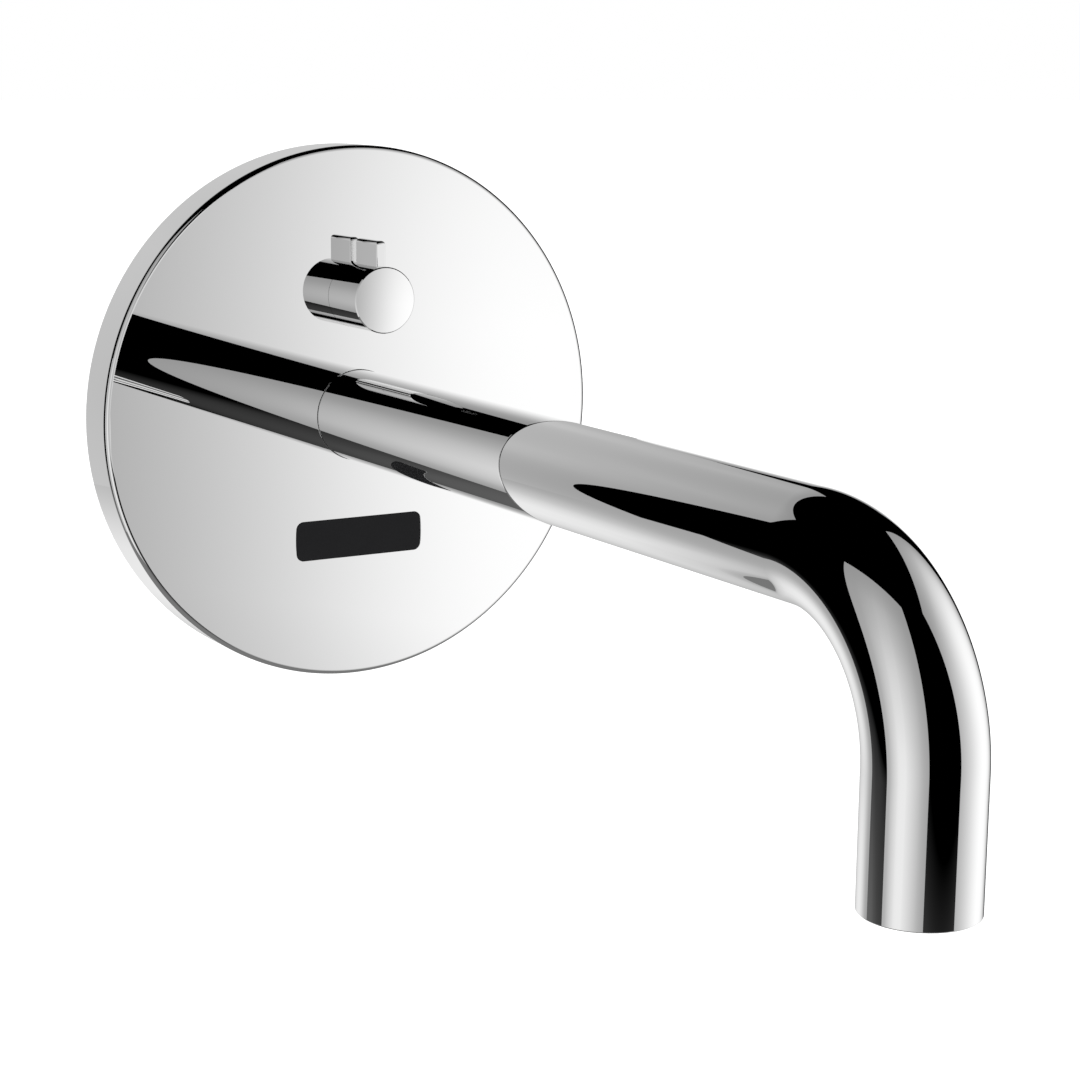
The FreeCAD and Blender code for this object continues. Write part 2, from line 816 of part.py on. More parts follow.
def temperature_knob():
    """Round knob with a slightly crowned face, bored from behind, with a slot for its tab."""
    face_r = knob_d / 2 - knob_edge
    rim_y = knob_front + knob_crown
    crown_r = (face_r ** 2 + knob_crown ** 2) / (2 * knob_crown)
    halfway_y = knob_front + crown_r - math.sqrt(crown_r ** 2 - (face_r / 2) ** 2)
    middle, rim = V(0, knob_front, knob_z), V(face_r, rim_y, knob_z)
    crown = Part.Arc(middle, V(face_r / 2, halfway_y, knob_z), rim).toShape()
    sides = Part.makePolygon([
        rim,
        V(knob_d / 2, rim_y + knob_edge, knob_z),
        V(knob_d / 2, knob_back, knob_z),
        V(0, knob_back, knob_z),
        middle,
    ])
    body = Part.Face(Part.Wire([crown] + sides.Edges)).revolve(middle, INWARD, 360)
    bore = rod(0, knob_z, knob_bore_d, knob_front + knob_front_wall, knob_back)
    seat = Part.makeBox(tab_width + 2 * press_gap, tab_length + 2 * press_gap, tab_seat_depth + knob_d,
                        V(-tab_width / 2 - press_gap, knob_front + tab_from_front - press_gap,
                          knob_z + knob_d / 2 - tab_seat_depth))
    y = knob_front + knob_screw_from_front
    hole = upright(0, y, knob_screw_d + 2 * press_gap, knob_z - knob_d, knob_z)
    return body.cut(bore).cut(seat).cut(hole)


def temperature_tab():
    """Small upright blade that shows and turns the knob."""
    foot = knob_z + knob_d / 2 - tab_seat_depth
    return Part.makeBox(tab_width, tab_length, tab_height + tab_seat_depth,
                        V(-tab_width / 2, knob_front + tab_from_front, foot))


def knob_hub():
    """Moulded hub between spindle and knob, with a finger that meets the stop ring."""
    front = knob_front + knob_front_wall
    blank = fused([
        rod(0, knob_z, hub_d, front, hub_flange_front),
        rod(0, knob_z, hub_flange_d, hub_flange_front, hub_flange_back),
        sector(0, knob_z, hub_d, 2 * hub_finger_reach, 90, hub_finger_angle,
               hub_flange_front, hub_flange_back),
    ])
    bore = rod(0, knob_z, spindle_d + 2 * press_gap, front + hub_front_wall, hub_flange_back)
    y = knob_front + knob_screw_from_front
    hole = upright(0, y, knob_screw_d + 2 * press_gap, knob_z - knob_d, knob_z)
    return blank.cut(bore).cut(hole)


def knob_screw():
    """Headless screw through knob and hub on to the spindle."""
    y = knob_front + knob_screw_from_front
    foot = knob_z - knob_d / 2 + knob_screw_sunk
    body = upright(0, y, knob_screw_d, foot, knob_z - spindle_d / 2 - press_gap)
    return body.cut(slab(0, foot, knob_screw_d, 2 * slot_depth, y - slot_width / 2, y + slot_width / 2))


def cartridge_spindle():
    """Stepped brass spindle from the rotor to the knob's hub."""
    tenon_end = cartridge_front + cartridge_front_wall + slide_gap + spindle_in_rotor
    return turned(0, knob_z, [
        (0, knob_front + knob_front_wall + hub_front_wall),
        (spindle_d, knob_front + knob_front_wall + hub_front_wall),
        (spindle_d, cartridge_front + cartridge_front_wall + slide_gap),
        (spindle_tenon_d, cartridge_front + cartridge_front_wall + slide_gap),
        (spindle_tenon_d, tenon_end),
        (0, tenon_end),
    ])


def temperature_stop_ring():
    """Ring on the gland's nose with the two lugs that end the knob's turn."""
    body = ring(0, knob_z, stop_ring_d, stop_ring_bore_d, stop_ring_front, stop_ring_back)
    lug_front = stop_ring_front - stop_lug_height
    spread = knob_turn_angle + hub_finger_angle / 2 + stop_play_angle + stop_lug_angle / 2
    inner = hub_flange_d + 2 * seat_gap
    pieces = [body]
    for side in (-1, 1):
        pieces.append(sector(0, knob_z, inner, stop_ring_d, 90 + side * spread, stop_lug_angle,
                             lug_front, stop_ring_front))
    return fused(pieces)


def cartridge_gland_nut():
    """Hexagon nut that clamps the cartridge in its pocket."""
    hex_front = stop_ring_back
    thread_d = cartridge_d + 2 * pocket_gap - 2 * press_gap
    body = fused([
        hexagon(0, knob_z, gland_hex_across, hex_front, gland_back, hexagon_half),
        rod(0, knob_z, gland_nose_d, hex_front - gland_nose_length, hex_front),
        rod(0, knob_z, thread_d, gland_back, cartridge_front),
    ])
    return body.cut(rod(0, knob_z, gland_bore_d, hex_front - gland_nose_length, cartridge_front))


def cartridge_housing():
    """Moulded sleeve with a hot port on its left and a cold port on its right."""
    inner_front = cartridge_front + cartridge_front_wall
    body = turned(0, knob_z, [
        (spindle_d + 2 * slide_gap, cartridge_front),
        (cartridge_d, cartridge_front),
        (cartridge_d, cartridge_back),
        (cartridge_bore_d, cartridge_back),
        (cartridge_bore_d, inner_front),
        (spindle_d + 2 * slide_gap, inner_front),
    ])
    ports = Part.makeCylinder(cartridge_port_d / 2, 2 * cartridge_d,
                              V(-cartridge_d, port_y, knob_z - tower_below_knob / 2), ACROSS)
    return body.cut(ports)


def mixing_rotor():
    """Cup that turns in the cartridge; its side window shares the two ports."""
    front = cartridge_front + cartridge_front_wall + slide_gap
    outer = cartridge_bore_d - 2 * slide_gap
    inner = outer - 2 * rotor_wall
    back = cartridge_back - rotor_back_gap
    body = turned(0, knob_z, [
        (spindle_tenon_d + 2 * press_gap, front),
        (outer, front),
        (outer, back),
        (inner, back),
        (inner, front + rotor_front_wall),
        (spindle_tenon_d + 2 * press_gap, front + rotor_front_wall),
    ])
    window = sector(0, knob_z, inner - rotor_wall, outer + rotor_wall, -90, rotor_window_angle,
                    port_y - rotor_window_length / 2, port_y + rotor_window_length / 2)
    return body.cut(window)


def cartridge_seal():
    outer = cartridge_d - 2 * seat_gap
    return ring(0, knob_z, outer, cartridge_bore_d, cartridge_back, pocket_floor)


def valve_body():
    """Brass casting: sockets for spout, cartridge and solenoid, two towers and two inlet legs."""
    gland_socket_d = cartridge_d + 2 * pocket_gap + 2 * casting_wall
    pieces = [
        cast_rod(0, 0, socket_d, flange_back, socket_back),
        cast_rod(0, knob_z, gland_socket_d, gland_back, chamber_back + casting_wall),
        cast_rod(solenoid_x, solenoid_z, solenoid_d, cover_back, solenoid_back),
        bar_between(V(solenoid_x, outlet_gallery_y, solenoid_z), V(0, outlet_gallery_y, 0), gallery_d),
        bar_between(mixed_gallery()[0], mixed_gallery()[1], gallery_d),
        bar_between(V(-tower_x, port_y, port_gallery_z()), V(tower_x, port_y, port_gallery_z()),
                    port_gallery_d),
        bar_between(V(-tower_x, leg_y - gallery_d / 2, tower_z), V(tower_x, leg_y - gallery_d / 2, tower_z),
                    gallery_d),
        bar_between(V(0, chamber_back, knob_z), V(0, chamber_back, 0), gallery_d),
    ]
    for side in (-1, 1):
        x = side * tower_x
        pieces.append(cast_rod(x, tower_z, tower_d, tower_front, tower_back))
        pieces.append(upright(x, leg_y, leg_d, leg_foot_z, tower_z))
        pieces += inlet_foot(x)
        pieces += lug(side * upper_lug[0], upper_lug[1], x, tower_z)
        pieces += lug(side * lower_lug[0], lower_lug[1], 0, 0)
    body = fused(pieces)
    return body.cut(Part.makeCompound(valve_body_bores())).removeSplitter()


def inlet_foot(x):
    """Spanner hexagon with turned corners round the inlet thread, below a round collar."""
    collar_z = leg_foot_z + inlet_boss_length - inlet_collar_length
    flats = hexagon(0, 0, inlet_hex_across, 0, collar_z - leg_foot_z, hexagon_half)
    flats.rotate(V(0, 0, 0), ACROSS, 90)
    flats.translate(V(x, leg_y, leg_foot_z))
    blank = upright(x, leg_y, inlet_boss_d, leg_foot_z, collar_z)
    collar = upright(x, leg_y, inlet_boss_d, collar_z, collar_z + inlet_collar_length)
    return [flats.common(blank), collar]


def lug(x, z, root_x, root_z):
    """Flat screw lug behind the carrier with an arm to the socket that carries it."""
    length = math.hypot(x - root_x, z - root_z)
    arm = Part.makeBox(length, lug_thick, lug_arm_width, V(0, 0, -lug_arm_width / 2))
    arm.rotate(V(0, 0, 0), INWARD, -math.degrees(math.atan2(z - root_z, x - root_x)))
    arm.translate(V(root_x, 0, root_z))
    return [arm, rod(x, z, lug_d, 0, lug_thick)]


def port_gallery_z():
    return knob_z - tower_below_knob / 2


def mixed_gallery():
    """Ends of the sloping passage from the cartridge's chamber to the solenoid's annulus."""
    return (V(0, (pocket_floor + chamber_back) / 2 + casting_wall / 2, knob_z),
            V(solenoid_x, annulus_back - gallery_bore_d, solenoid_z))


def valve_body_bores():
    """Pockets, water passages and screw holes of the casting."""
    chamber_floor = cover_back + chamber_depth
    pad_back = diaphragm_front + diaphragm_pad_thick
    start, end = mixed_gallery()
    nozzle_clear = (annulus_inner_d + casting_wall) / 2 + gallery_bore_d / 4
    short_end = end.sub(end.sub(start).normalize().multiply(nozzle_clear))
    bores = [
        rod(0, 0, nipple_stem_d + 2 * ring_seat_gap, flange_back, socket_bore_end),
        rod(0, 0, socket_passage_d, socket_bore_end, socket_bore_end + socket_passage_length),
        upright(0, flange_back + lock_groove_at, lock_screw_d + 2 * press_gap, -socket_d, 0),
        rod(0, knob_z, cartridge_d + 2 * pocket_gap, gland_back, pocket_floor),
        rod(0, knob_z, mixed_chamber_d, pocket_floor, chamber_back),
        bar_between(start, short_end, gallery_bore_d),
        rod(solenoid_x, solenoid_z, chamber_d, cover_back, chamber_floor - (chamber_floor - pad_back) / 2),
        ring(solenoid_x, solenoid_z, chamber_d, annulus_inner_d, pad_back, annulus_back),
        rod(solenoid_x, solenoid_z, annulus_inner_d, cover_back, pad_back + nozzle_below_pad),
        rod(solenoid_x, solenoid_z, nozzle_bore_d, cover_back, outlet_gallery_y + gallery_bore_d / 2),
        bar_between(V(solenoid_x, outlet_gallery_y, solenoid_z),
                    V(0, outlet_gallery_y, 0), outlet_gallery_bore_d),
    ]
    for side in (-1, 1):
        x = side * tower_x
        bores.append(rod(x, tower_z, tower_bore_d, tower_front, tower_bore_end))
        bores.append(upright(x, leg_y, leg_bore_d, leg_foot_z, tower_z))
        bores.append(upright(x, leg_y, inlet_thread_d, leg_foot_z, leg_foot_z + inlet_thread_length))
        bores.append(bar_between(V(x, port_y, port_gallery_z()),
                                 V(side * cartridge_d / 4, port_y, port_gallery_z()), port_gallery_bore_d))
    for x, z in lug_places():
        bores.append(rod(x, z, m4_d + 2 * press_gap, 0, lug_thick))
    hole_end = cover_back + cover_screw_grip + screw_hole_spare
    for x, z in cover_screw_places():
        bores.append(rod(x, z, m3_d + 2 * press_gap, cover_back, hole_end))
    return bores


def body_screws():
    """Screws from the carrier's front into the valve body's lugs."""
    return [
        screw(x, z, m4_d, m4_head_across, m4_head_height, m4_length, carrier_front)
        for x, z in lug_places()
    ]


def service_plugs():
    """Hexagon socket plugs that close the two towers."""
    face = tower_front - plug_seal_thick
    plugs = []
    for side in (-1, 1):
        x = side * tower_x
        body = turned(x, tower_z, [
            (0, face - plug_flange_thick),
            (plug_flange_d, face - plug_flange_thick),
            (plug_flange_d, face),
            (tower_bore_d - 2 * press_gap, face),
            (tower_bore_d - 2 * press_gap, tower_front + plug_shank_length),
            (0, tower_front + plug_shank_length),
        ])
        key_front = face - plug_flange_thick
        plugs.append(body.cut(hexagon(x, tower_z, plug_key_across, key_front, key_front + plug_key_depth)))
    return plugs


def plug_seals():
    outer = plug_flange_d - 2 * seat_gap
    return [
        ring(side * tower_x, tower_z, outer, tower_bore_d, tower_front - plug_seal_thick, tower_front)
        for side in (-1, 1)
    ]


def check_cage(x):
    """Check valve sleeve with a seat at its back and a guide spider at its front."""
    outer = tower_bore_d - 2 * press_gap
    chamber_front = cage_front + cage_guide_wall
    chamber_end = cage_back - cage_seat_wall
    body = turned(x, tower_z, [
        (cage_guide_hole_d, cage_front),
        (outer, cage_front),
        (outer, cage_back),
        (cage_seat_bore_d, cage_back),
        (cage_seat_bore_d, chamber_end),
        (cage_bore_d, chamber_end),
        (cage_bore_d, chamber_front),
        (cage_guide_hole_d, chamber_front),
    ])
    slots = []
    for side in (-1, 1):
        shift = side * cage_slot_at
        slots.append(slab(x + shift, tower_z, cage_slot_width, cage_slot_length, cage_front, chamber_front))
        slots.append(slab(x, tower_z + shift, cage_slot_length, cage_slot_width, cage_front, chamber_front))
    return body.cut(Part.makeCompound(slots))


def check_poppet(x):
    """Mushroom that rests on the seat and lifts towards the front."""
    seat = cage_back - cage_seat_wall - slide_gap
    return turned(x, tower_z, [
        (0, cage_front - poppet_past_guide),
        (poppet_stem_d, cage_front - poppet_past_guide),
        (poppet_stem_d, seat - poppet_head_thick),
        (poppet_head_d, seat - poppet_head_thick),
        (poppet_head_d, seat),
        (poppet_tip_d, seat),
        (poppet_tip_d / 2, seat + poppet_tip_length),
        (0, seat + poppet_tip_length),
    ])


def check_spring(x):
    seat = cage_back - cage_seat_wall - slide_gap
    return coil_spring(x, tower_z, check_spring_d, check_spring_wire, check_spring_turns,
                       cage_front + cage_guide_wall + slide_gap, seat - poppet_head_thick - slide_gap)


def strainer(x):
    """Windowed basket for the filter mesh behind the check valve, in the inlet leg's flow."""
    rim_d = tower_bore_d - 2 * press_gap
    inner_d = strainer_basket_d - 2 * strainer_wall
    body = turned(x, tower_z, [
        (inner_d, cage_back),
        (rim_d, cage_back),
        (rim_d, cage_back + strainer_rim_thick),
        (strainer_basket_d, cage_back + strainer_rim_thick),
        (strainer_basket_d, strainer_back),
        (0, strainer_back),
        (0, strainer_back - strainer_wall),
        (inner_d, strainer_back - strainer_wall),
    ])
    windows = []
    for width, height in ((strainer_window, tower_bore_d), (tower_bore_d, strainer_window)):
        windows.append(slab(x, tower_z, width, height, cage_back + 2 * strainer_rim_thick,
                            strainer_back - strainer_rim_thick))
    return body.cut(Part.makeCompound(windows))


def cover_screw_places():
    places = []
    for index in range(4):
        dx, dz = polar(cover_screw_circle_d / 2, cover_screw_angle + 90 * index)
        places.append((solenoid_x + dx, solenoid_z + dz))
    return places


def solenoid_cover():
    """Moulded flange over the diaphragm with the closed guide tube for the plunger."""
    bore_d = plunger_d + 2 * slide_gap
    body = turned(solenoid_x, solenoid_z, [
        (0, guide_front),
        (guide_tube_d, guide_front),
        (guide_tube_d, coil_back),
        (solenoid_d, coil_back),
        (solenoid_d, cover_back),
        (bore_d, cover_back),
        (bore_d, guide_inner_front),
        (0, guide_inner_front),
    ])
    holes = [rod(x, z, m3_d + 2 * hole_gap, coil_back, cover_back) for x, z in cover_screw_places()]
    return body.cut(Part.makeCompound(holes))


def cover_screws():
    length = cover_thick + cover_screw_grip
    return [
        screw(x, z, m3_d, m3_head_across, m3_head_height, length, coil_back)
        for x, z in cover_screw_places()
    ]


def solenoid_coil():
    """Overmoulded coil on the guide tube, with its terminal block."""
    bore_d = guide_tube_d + 2 * press_gap
    body = ring(solenoid_x, solenoid_z, coil_d, bore_d, coil_front + coil_clip_thick, coil_back)
    block_front = coil_front + coil_clip_thick
    start = solenoid_x + coil_d / 2 - coil_terminal_root
    length = coil_terminal_root + coil_terminal_reach
    block = Part.makeBox(length, coil_terminal_height, coil_terminal_width,
                         V(start, block_front, solenoid_z - coil_terminal_width / 2))
    return fused([body, block])


def coil_clip():
    """Push-on spring washer in front of the coil."""
    return ring(solenoid_x, solenoid_z, coil_clip_d, guide_tube_d + 2 * press_gap,
                coil_front, coil_front + coil_clip_thick)


def solenoid_plunger():
    """Steel armature with a small nib that closes the pilot hole."""
    shoulder = plunger_back - plunger_nib_length
    return turned(solenoid_x, solenoid_z, [
        (0, plunger_front),
        (plunger_d, plunger_front),
        (plunger_d, shoulder),
        (plunger_nib_d, shoulder),
        (plunger_nib_d, plunger_back),
        (0, plunger_back),
    ])


def plunger_spring():
    return coil_spring(solenoid_x, solenoid_z, plunger_spring_d, plunger_spring_wire, plunger_spring_turns,
                       guide_inner_front + slide_gap, plunger_front - slide_gap)


def solenoid_diaphragm():
    """Rubber diaphragm with a clamped bead and a thick middle pad."""
    bead_front = cover_back + press_gap
    bead_back = bead_front + diaphragm_bead_thick
    web_back = diaphragm_front + diaphragm_web_thick
    pad_back = diaphragm_front + diaphragm_pad_thick
    bead_inner = diaphragm_d - 2 * diaphragm_bead_width
    return turned(solenoid_x, solenoid_z, [
        (0, diaphragm_front),
        (bead_inner, diaphragm_front),
        (bead_inner, bead_front),
        (diaphragm_d, bead_front),
        (diaphragm_d, bead_back),
        (bead_inner, bead_back),
        (bead_inner, web_back),
        (diaphragm_pad_d, web_back),
        (diaphragm_pad_d, pad_back),
        (0, pad_back),
    ])


def sensor_window():
    """Dark infrared window, flush with the plate, with a flange behind it."""
    flange_front = plate_back + gasket_thick
    lens = slab(0, window_z, window_width - 2 * window_gap, window_height - 2 * window_gap,
                plate_front, flange_front, window_corner - window_gap)
    flange = slab(0, window_z, window_flange_width, window_flange_height,
                  flange_front, flange_front + window_flange_thick, window_corner)
    return fused([lens, flange])


def sensor_gasket():
    flat = slab(0, window_z, window_flange_width, window_flange_height,
                plate_back, plate_back + gasket_thick, window_corner)
    return flat.cut(slab(0, window_z, window_width + 2 * seat_gap, window_height + 2 * seat_gap,
                         plate_back, plate_back + gasket_thick, window_corner))


def sensor_box_front():
    return plate_back + gasket_thick + window_flange_thick


def board_front():
    return carrier_front - sensor_box_floor - sensor_post_height - board_thick


def sensor_housing():
    """Light-tight box behind the window with board posts, a barrier and two screw ears."""
    front = sensor_box_front()
    floor = carrier_front - sensor_box_floor
    inner_w = sensor_box_width - 2 * sensor_box_wall
    inner_h = sensor_box_height - 2 * sensor_box_wall
    shell = slab(0, window_z, sensor_box_width, sensor_box_height, front, carrier_front, window_corner)
    shell = shell.cut(slab(0, window_z, inner_w, inner_h, front, floor))
    pieces = [shell, slab(0, window_z, barrier_thick, inner_h, front, board_front() - press_gap)]
    for sx in (-1, 1):
        for sz in (-1, 1):
            x = sx * (inner_w / 2 - sensor_post_inset)
            z = window_z + sz * (inner_h / 2 - sensor_post_inset)
            pieces.append(slab(x, z, sensor_post, sensor_post, floor - sensor_post_height, floor))
    ears = ear_places()[0]
    for x, z in ears:
        pieces.append(rod(x, z, ear_d, carrier_front - ear_thick, carrier_front))
        pieces.append(slab(x, z + ear_d / 4, ear_d, ear_d / 2, carrier_front - ear_thick, carrier_front))
    body = fused(pieces)
    holes = [rod(x, z, m3_d + 2 * hole_gap, carrier_front - ear_thick, carrier_front) for x, z in ears]
    return body.cut(Part.makeCompound(holes))


def sensor_board():
    width = sensor_box_width - 2 * sensor_box_wall - 2 * board_gap
    height = sensor_box_height - 2 * sensor_box_wall - 2 * board_gap
    return slab(0, window_z, width, height, board_front(), board_front() + board_thick)


def sensor_led(side):
    """Infrared diode on the board, facing the window."""
    front = sensor_box_front() + led_window_gap
    flange_front = board_front() - led_flange_thick
    return turned(side * led_spacing / 2, window_z, [
        (0, front),
        (led_d * led_nose_share, front),
        (led_d, front + led_d * led_nose_share / 2),
        (led_d, flange_front),
        (led_flange_d, flange_front),
        (led_flange_d, board_front()),
        (0, board_front()),
    ])


def tray_outer():
    """Width and height of the battery tray."""
    grow = 2 * battery_gap + 2 * tray_wall
    return battery_width + grow, battery_height + grow


def battery_tray():
    """Open box through the carrier, hung on its front flange."""
    width, height = tray_outer()
    flange_front = carrier_front - tray_flange_thick
    body = fused([
        slab(battery_x, battery_z, width, height, tray_mouth, tray_back, tray_wall),
        slab(battery_x, battery_z, width + 2 * tray_flange, height + 2 * tray_flange,
             flange_front, carrier_front),
    ])
    return body.cut(slab(battery_x, battery_z, width - 2 * tray_wall, height - 2 * tray_wall,
                         tray_mouth, tray_floor))


def battery_cell():
    """Two-cell lithium block with rounded long edges."""
    front = tray_mouth + battery_gap
    return slab(battery_x, battery_z, battery_width, battery_height, front, front + battery_length,
                battery_corner)


def battery_lid():
    """Flat lid on the tray's mouth with a raised grip."""
    width, height = tray_outer()
    plate = slab(battery_x, battery_z, width, height, lid_front, tray_mouth, tray_wall)
    grip = slab(battery_x, battery_z, lid_grip_width, lid_grip_thick,
                lid_front - lid_grip_height, lid_front)
    return fused([plate, grip])


def battery_contacts():
    return [
        slab(battery_x, battery_z + side * contact_spacing / 2, contact_width, contact_height,
             tray_floor - contact_thick, tray_floor)
        for side in (-1, 1)
    ]


def control_module():
    """Potted electronics block with two screw ears."""
    x, z, width = module_place()
    front = carrier_front - module_depth
    pieces = [slab(x, z, width, module_height, front, carrier_front, module_corner)]
    ears = ear_places()[1]
    for ex, ez in ears:
        pieces.append(rod(ex, ez, ear_d, carrier_front - ear_thick, carrier_front))
    body = fused(pieces)
    holes = [rod(ex, ez, m3_d + 2 * hole_gap, carrier_front - ear_thick, carrier_front) for ex, ez in ears]
    return body.cut(Part.makeCompound(holes))


def lead_headers():
    """Open plug sockets on the module's left edge, for battery, sensor and solenoid leads."""
    x, z, width = module_place()
    front = carrier_front - module_depth / 2 - header_depth / 2
    middle = x - width / 2 - header_height / 2
    headers = []
    for step in (-1, 0, 1):
        body = slab(middle, z + step * header_spacing, header_height - 2 * press_gap, header_width,
                    front, front + header_depth)
        well = slab(middle - header_height / 4, z + step * header_spacing, header_height / 2,
                    header_width - 2 * header_wall, front + header_wall, front + header_depth - header_wall)
        headers.append(body.cut(well))
    return headers


def electronics_screws():
    sensor_ears, module_ears = ear_places()
    seat = carrier_front - ear_thick
    length = ear_thick + carrier_thick - screw_short_of_wall
    return [
        screw(x, z, m3_d, m3_head_across, m3_head_height, length, seat)
        for x, z in sensor_ears + module_ears
    ]


os.makedirs("parts", exist_ok=True)

save("escutcheon_plate", escutcheon_plate())
save("plate_seal", plate_seal())
save("mounting_carrier", mounting_carrier())
save("plate_clips", plate_clips())
save("clip_screws", clip_screws())
save("spout_tube", spout_tube())
save("spout_nipple", spout_nipple())
save("spout_rings", spout_rings())
save("lock_screw", lock_screw())
save("outlet_bush", outlet_bush())
save("aerator_seal", aerator_seal())
save("aerator_housing", aerator_housing())
save("aerator_screen", aerator_screen())
save("flow_regulator", flow_regulator())
save("temperature_knob", temperature_knob())
save("temperature_tab", temperature_tab())
save("knob_hub", knob_hub())
save("knob_screw", knob_screw())
save("cartridge_spindle", cartridge_spindle())
save("temperature_stop_ring", temperature_stop_ring())
save("cartridge_gland_nut", cartridge_gland_nut())
save("cartridge_housing", cartridge_housing())
save("mixing_rotor", mixing_rotor())
save("cartridge_seal", cartridge_seal())
save("valve_body", valve_body())
save("body_screws", body_screws())
save("service_plugs", service_plugs())
save("plug_seals", plug_seals())
for name, side in (("hot", -1), ("cold", 1)):
    save(name + "_check_cage", check_cage(side * tower_x))
    save(name + "_check_poppet", check_poppet(side * tower_x))
    save(name + "_check_spring", check_spring(side * tower_x))
    save(name + "_strainer", strainer(side * tower_x))
save("solenoid_cover", solenoid_cover())
save("cover_screws", cover_screws())
save("solenoid_coil", solenoid_coil())
save("coil_clip", coil_clip())
save("solenoid_plunger", solenoid_plunger())
save("plunger_spring", plunger_spring())
save("solenoid_diaphragm", solenoid_diaphragm())
save("sensor_window", sensor_window())
save("sensor_gasket", sensor_gasket())
save("sensor_housing", sensor_housing())
save("sensor_board", sensor_board())
save("infrared_emitter", sensor_led(-1))
save("infrared_receiver", sensor_led(1))
save("battery_tray", battery_tray())
save("battery_cell", battery_cell())
save("battery_lid", battery_lid())
save("battery_contacts", battery_contacts())
save("control_module", control_module())
save("lead_headers", lead_headers())
save("electronics_screws", electronics_screws())
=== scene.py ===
import json
import math

import bmesh
import bpy
from mathutils import Matrix, Vector


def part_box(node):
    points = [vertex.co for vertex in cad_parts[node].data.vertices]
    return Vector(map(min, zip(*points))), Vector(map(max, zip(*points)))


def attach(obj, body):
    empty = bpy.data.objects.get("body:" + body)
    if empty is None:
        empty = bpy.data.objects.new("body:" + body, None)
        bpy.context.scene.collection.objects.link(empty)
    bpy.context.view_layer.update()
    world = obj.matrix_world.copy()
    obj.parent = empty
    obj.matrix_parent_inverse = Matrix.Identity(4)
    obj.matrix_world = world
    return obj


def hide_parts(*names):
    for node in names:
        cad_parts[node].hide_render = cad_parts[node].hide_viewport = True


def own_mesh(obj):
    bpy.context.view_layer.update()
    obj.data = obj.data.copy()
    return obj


# Electronic wall basin tap, mirror chrome plated, in the light of a small product studio.
# Metres, in the frame of the CAD parts: +Z is up, the wall is the plane y = 0 and the tap
# stands out along -Y.

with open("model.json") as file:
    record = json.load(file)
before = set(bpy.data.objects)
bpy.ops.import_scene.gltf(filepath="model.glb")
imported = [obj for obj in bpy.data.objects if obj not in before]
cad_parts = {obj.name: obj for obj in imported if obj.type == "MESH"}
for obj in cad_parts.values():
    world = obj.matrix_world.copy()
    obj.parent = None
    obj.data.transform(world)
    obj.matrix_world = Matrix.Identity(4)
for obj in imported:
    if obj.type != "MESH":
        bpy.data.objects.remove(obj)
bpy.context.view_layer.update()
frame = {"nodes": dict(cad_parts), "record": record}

MM = 0.001

# Sizes that the new pieces share with the CAD parts
tube_low, tube_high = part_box("spout_tube")
plate_low, plate_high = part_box("escutcheon_plate")
knob_low, knob_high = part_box("temperature_knob")
tab_low, tab_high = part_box("temperature_tab")
window_low, window_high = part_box("sensor_window")
casting_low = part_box("valve_body")[0]
strainer_low, strainer_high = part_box("cold_strainer")
tube_radius = tube_high.x
tube_wall = 1.5 * MM
tube_edge = 0.25 * MM
bend_radius = 3 * tube_radius   # one and a half diameters
outlet_y = tube_low.y + tube_radius
plate_radius = plate_high.x
plate_wall = 2.0 * MM
plate_front_edge = 1.5 * MM     # radius round the plate's face
plate_edge = 0.12 * MM
plate_hole_gap = 0.1 * MM
knob_radius = knob_high.x
knob_z = knob_low.z + knob_radius
knob_hole_radius = 8.2 * MM
knob_bore_radius = 7.55 * MM
knob_front_wall = 5.0 * MM
knob_chamfer = 0.3 * MM
knob_crown = 0.5 * MM       # the face's middle beyond its rim
knob_seam = 0.08 * MM       # running gap between the knob and the plate
tab_top_edge = 1.0 * MM     # radius round the top of the tab
tab_edge = 0.3 * MM
window_flange_lip = 2.4 * MM
window_flange_wall = 1.0 * MM
window_gap = 0.1 * MM       # between the window and the plate's opening
window_corner = 2.1 * MM
window_bow = 0.4 * MM       # the ends' middles beyond their corners
window_edge = 0.1 * MM
inlet_x = (strainer_low.x + strainer_high.x) / 2
inlet_y = 39.5 * MM
inlet_bore_radius = 9.32 * MM

# Fineness of the polished pieces, whose reflections show every facet
ROUND_SIDES = 256
HOLE_SIDES = 96
BEND_STEPS = 72
CORNER_STEPS = 8
CROWN_STEPS = 16
PLATE_EDGE_STEPS = 12
TAB_EDGE_STEPS = 6
SHARP_ANGLE = math.radians(25)
STEEP_ANGLE = math.radians(60)
QUARTER_TURN = math.radians(90)
FLAT_SHARE = 0.99999        # a face this square to an axis is a true flat
MERGE_DISTANCE = 1e-7       # corners nearer than this are one
UPRIGHT_WITHIN = 0.001 * MM     # an edge whose ends differ less than this across is upright


# Materials

def colour(hex_value, alpha=1.0):
    """Linear colour from an sRGB hex value."""
    parts = [(hex_value >> shift & 255) / 255 for shift in (16, 8, 0)]
    return tuple(c / 12.92 if c <= 0.04045 else ((c + 0.055) / 1.055) ** 2.4 for c in parts) + (alpha,)


def grain(millimetres):
    """Texture scale that makes one grain this many millimetres across."""
    return 1 / (millimetres * MM)


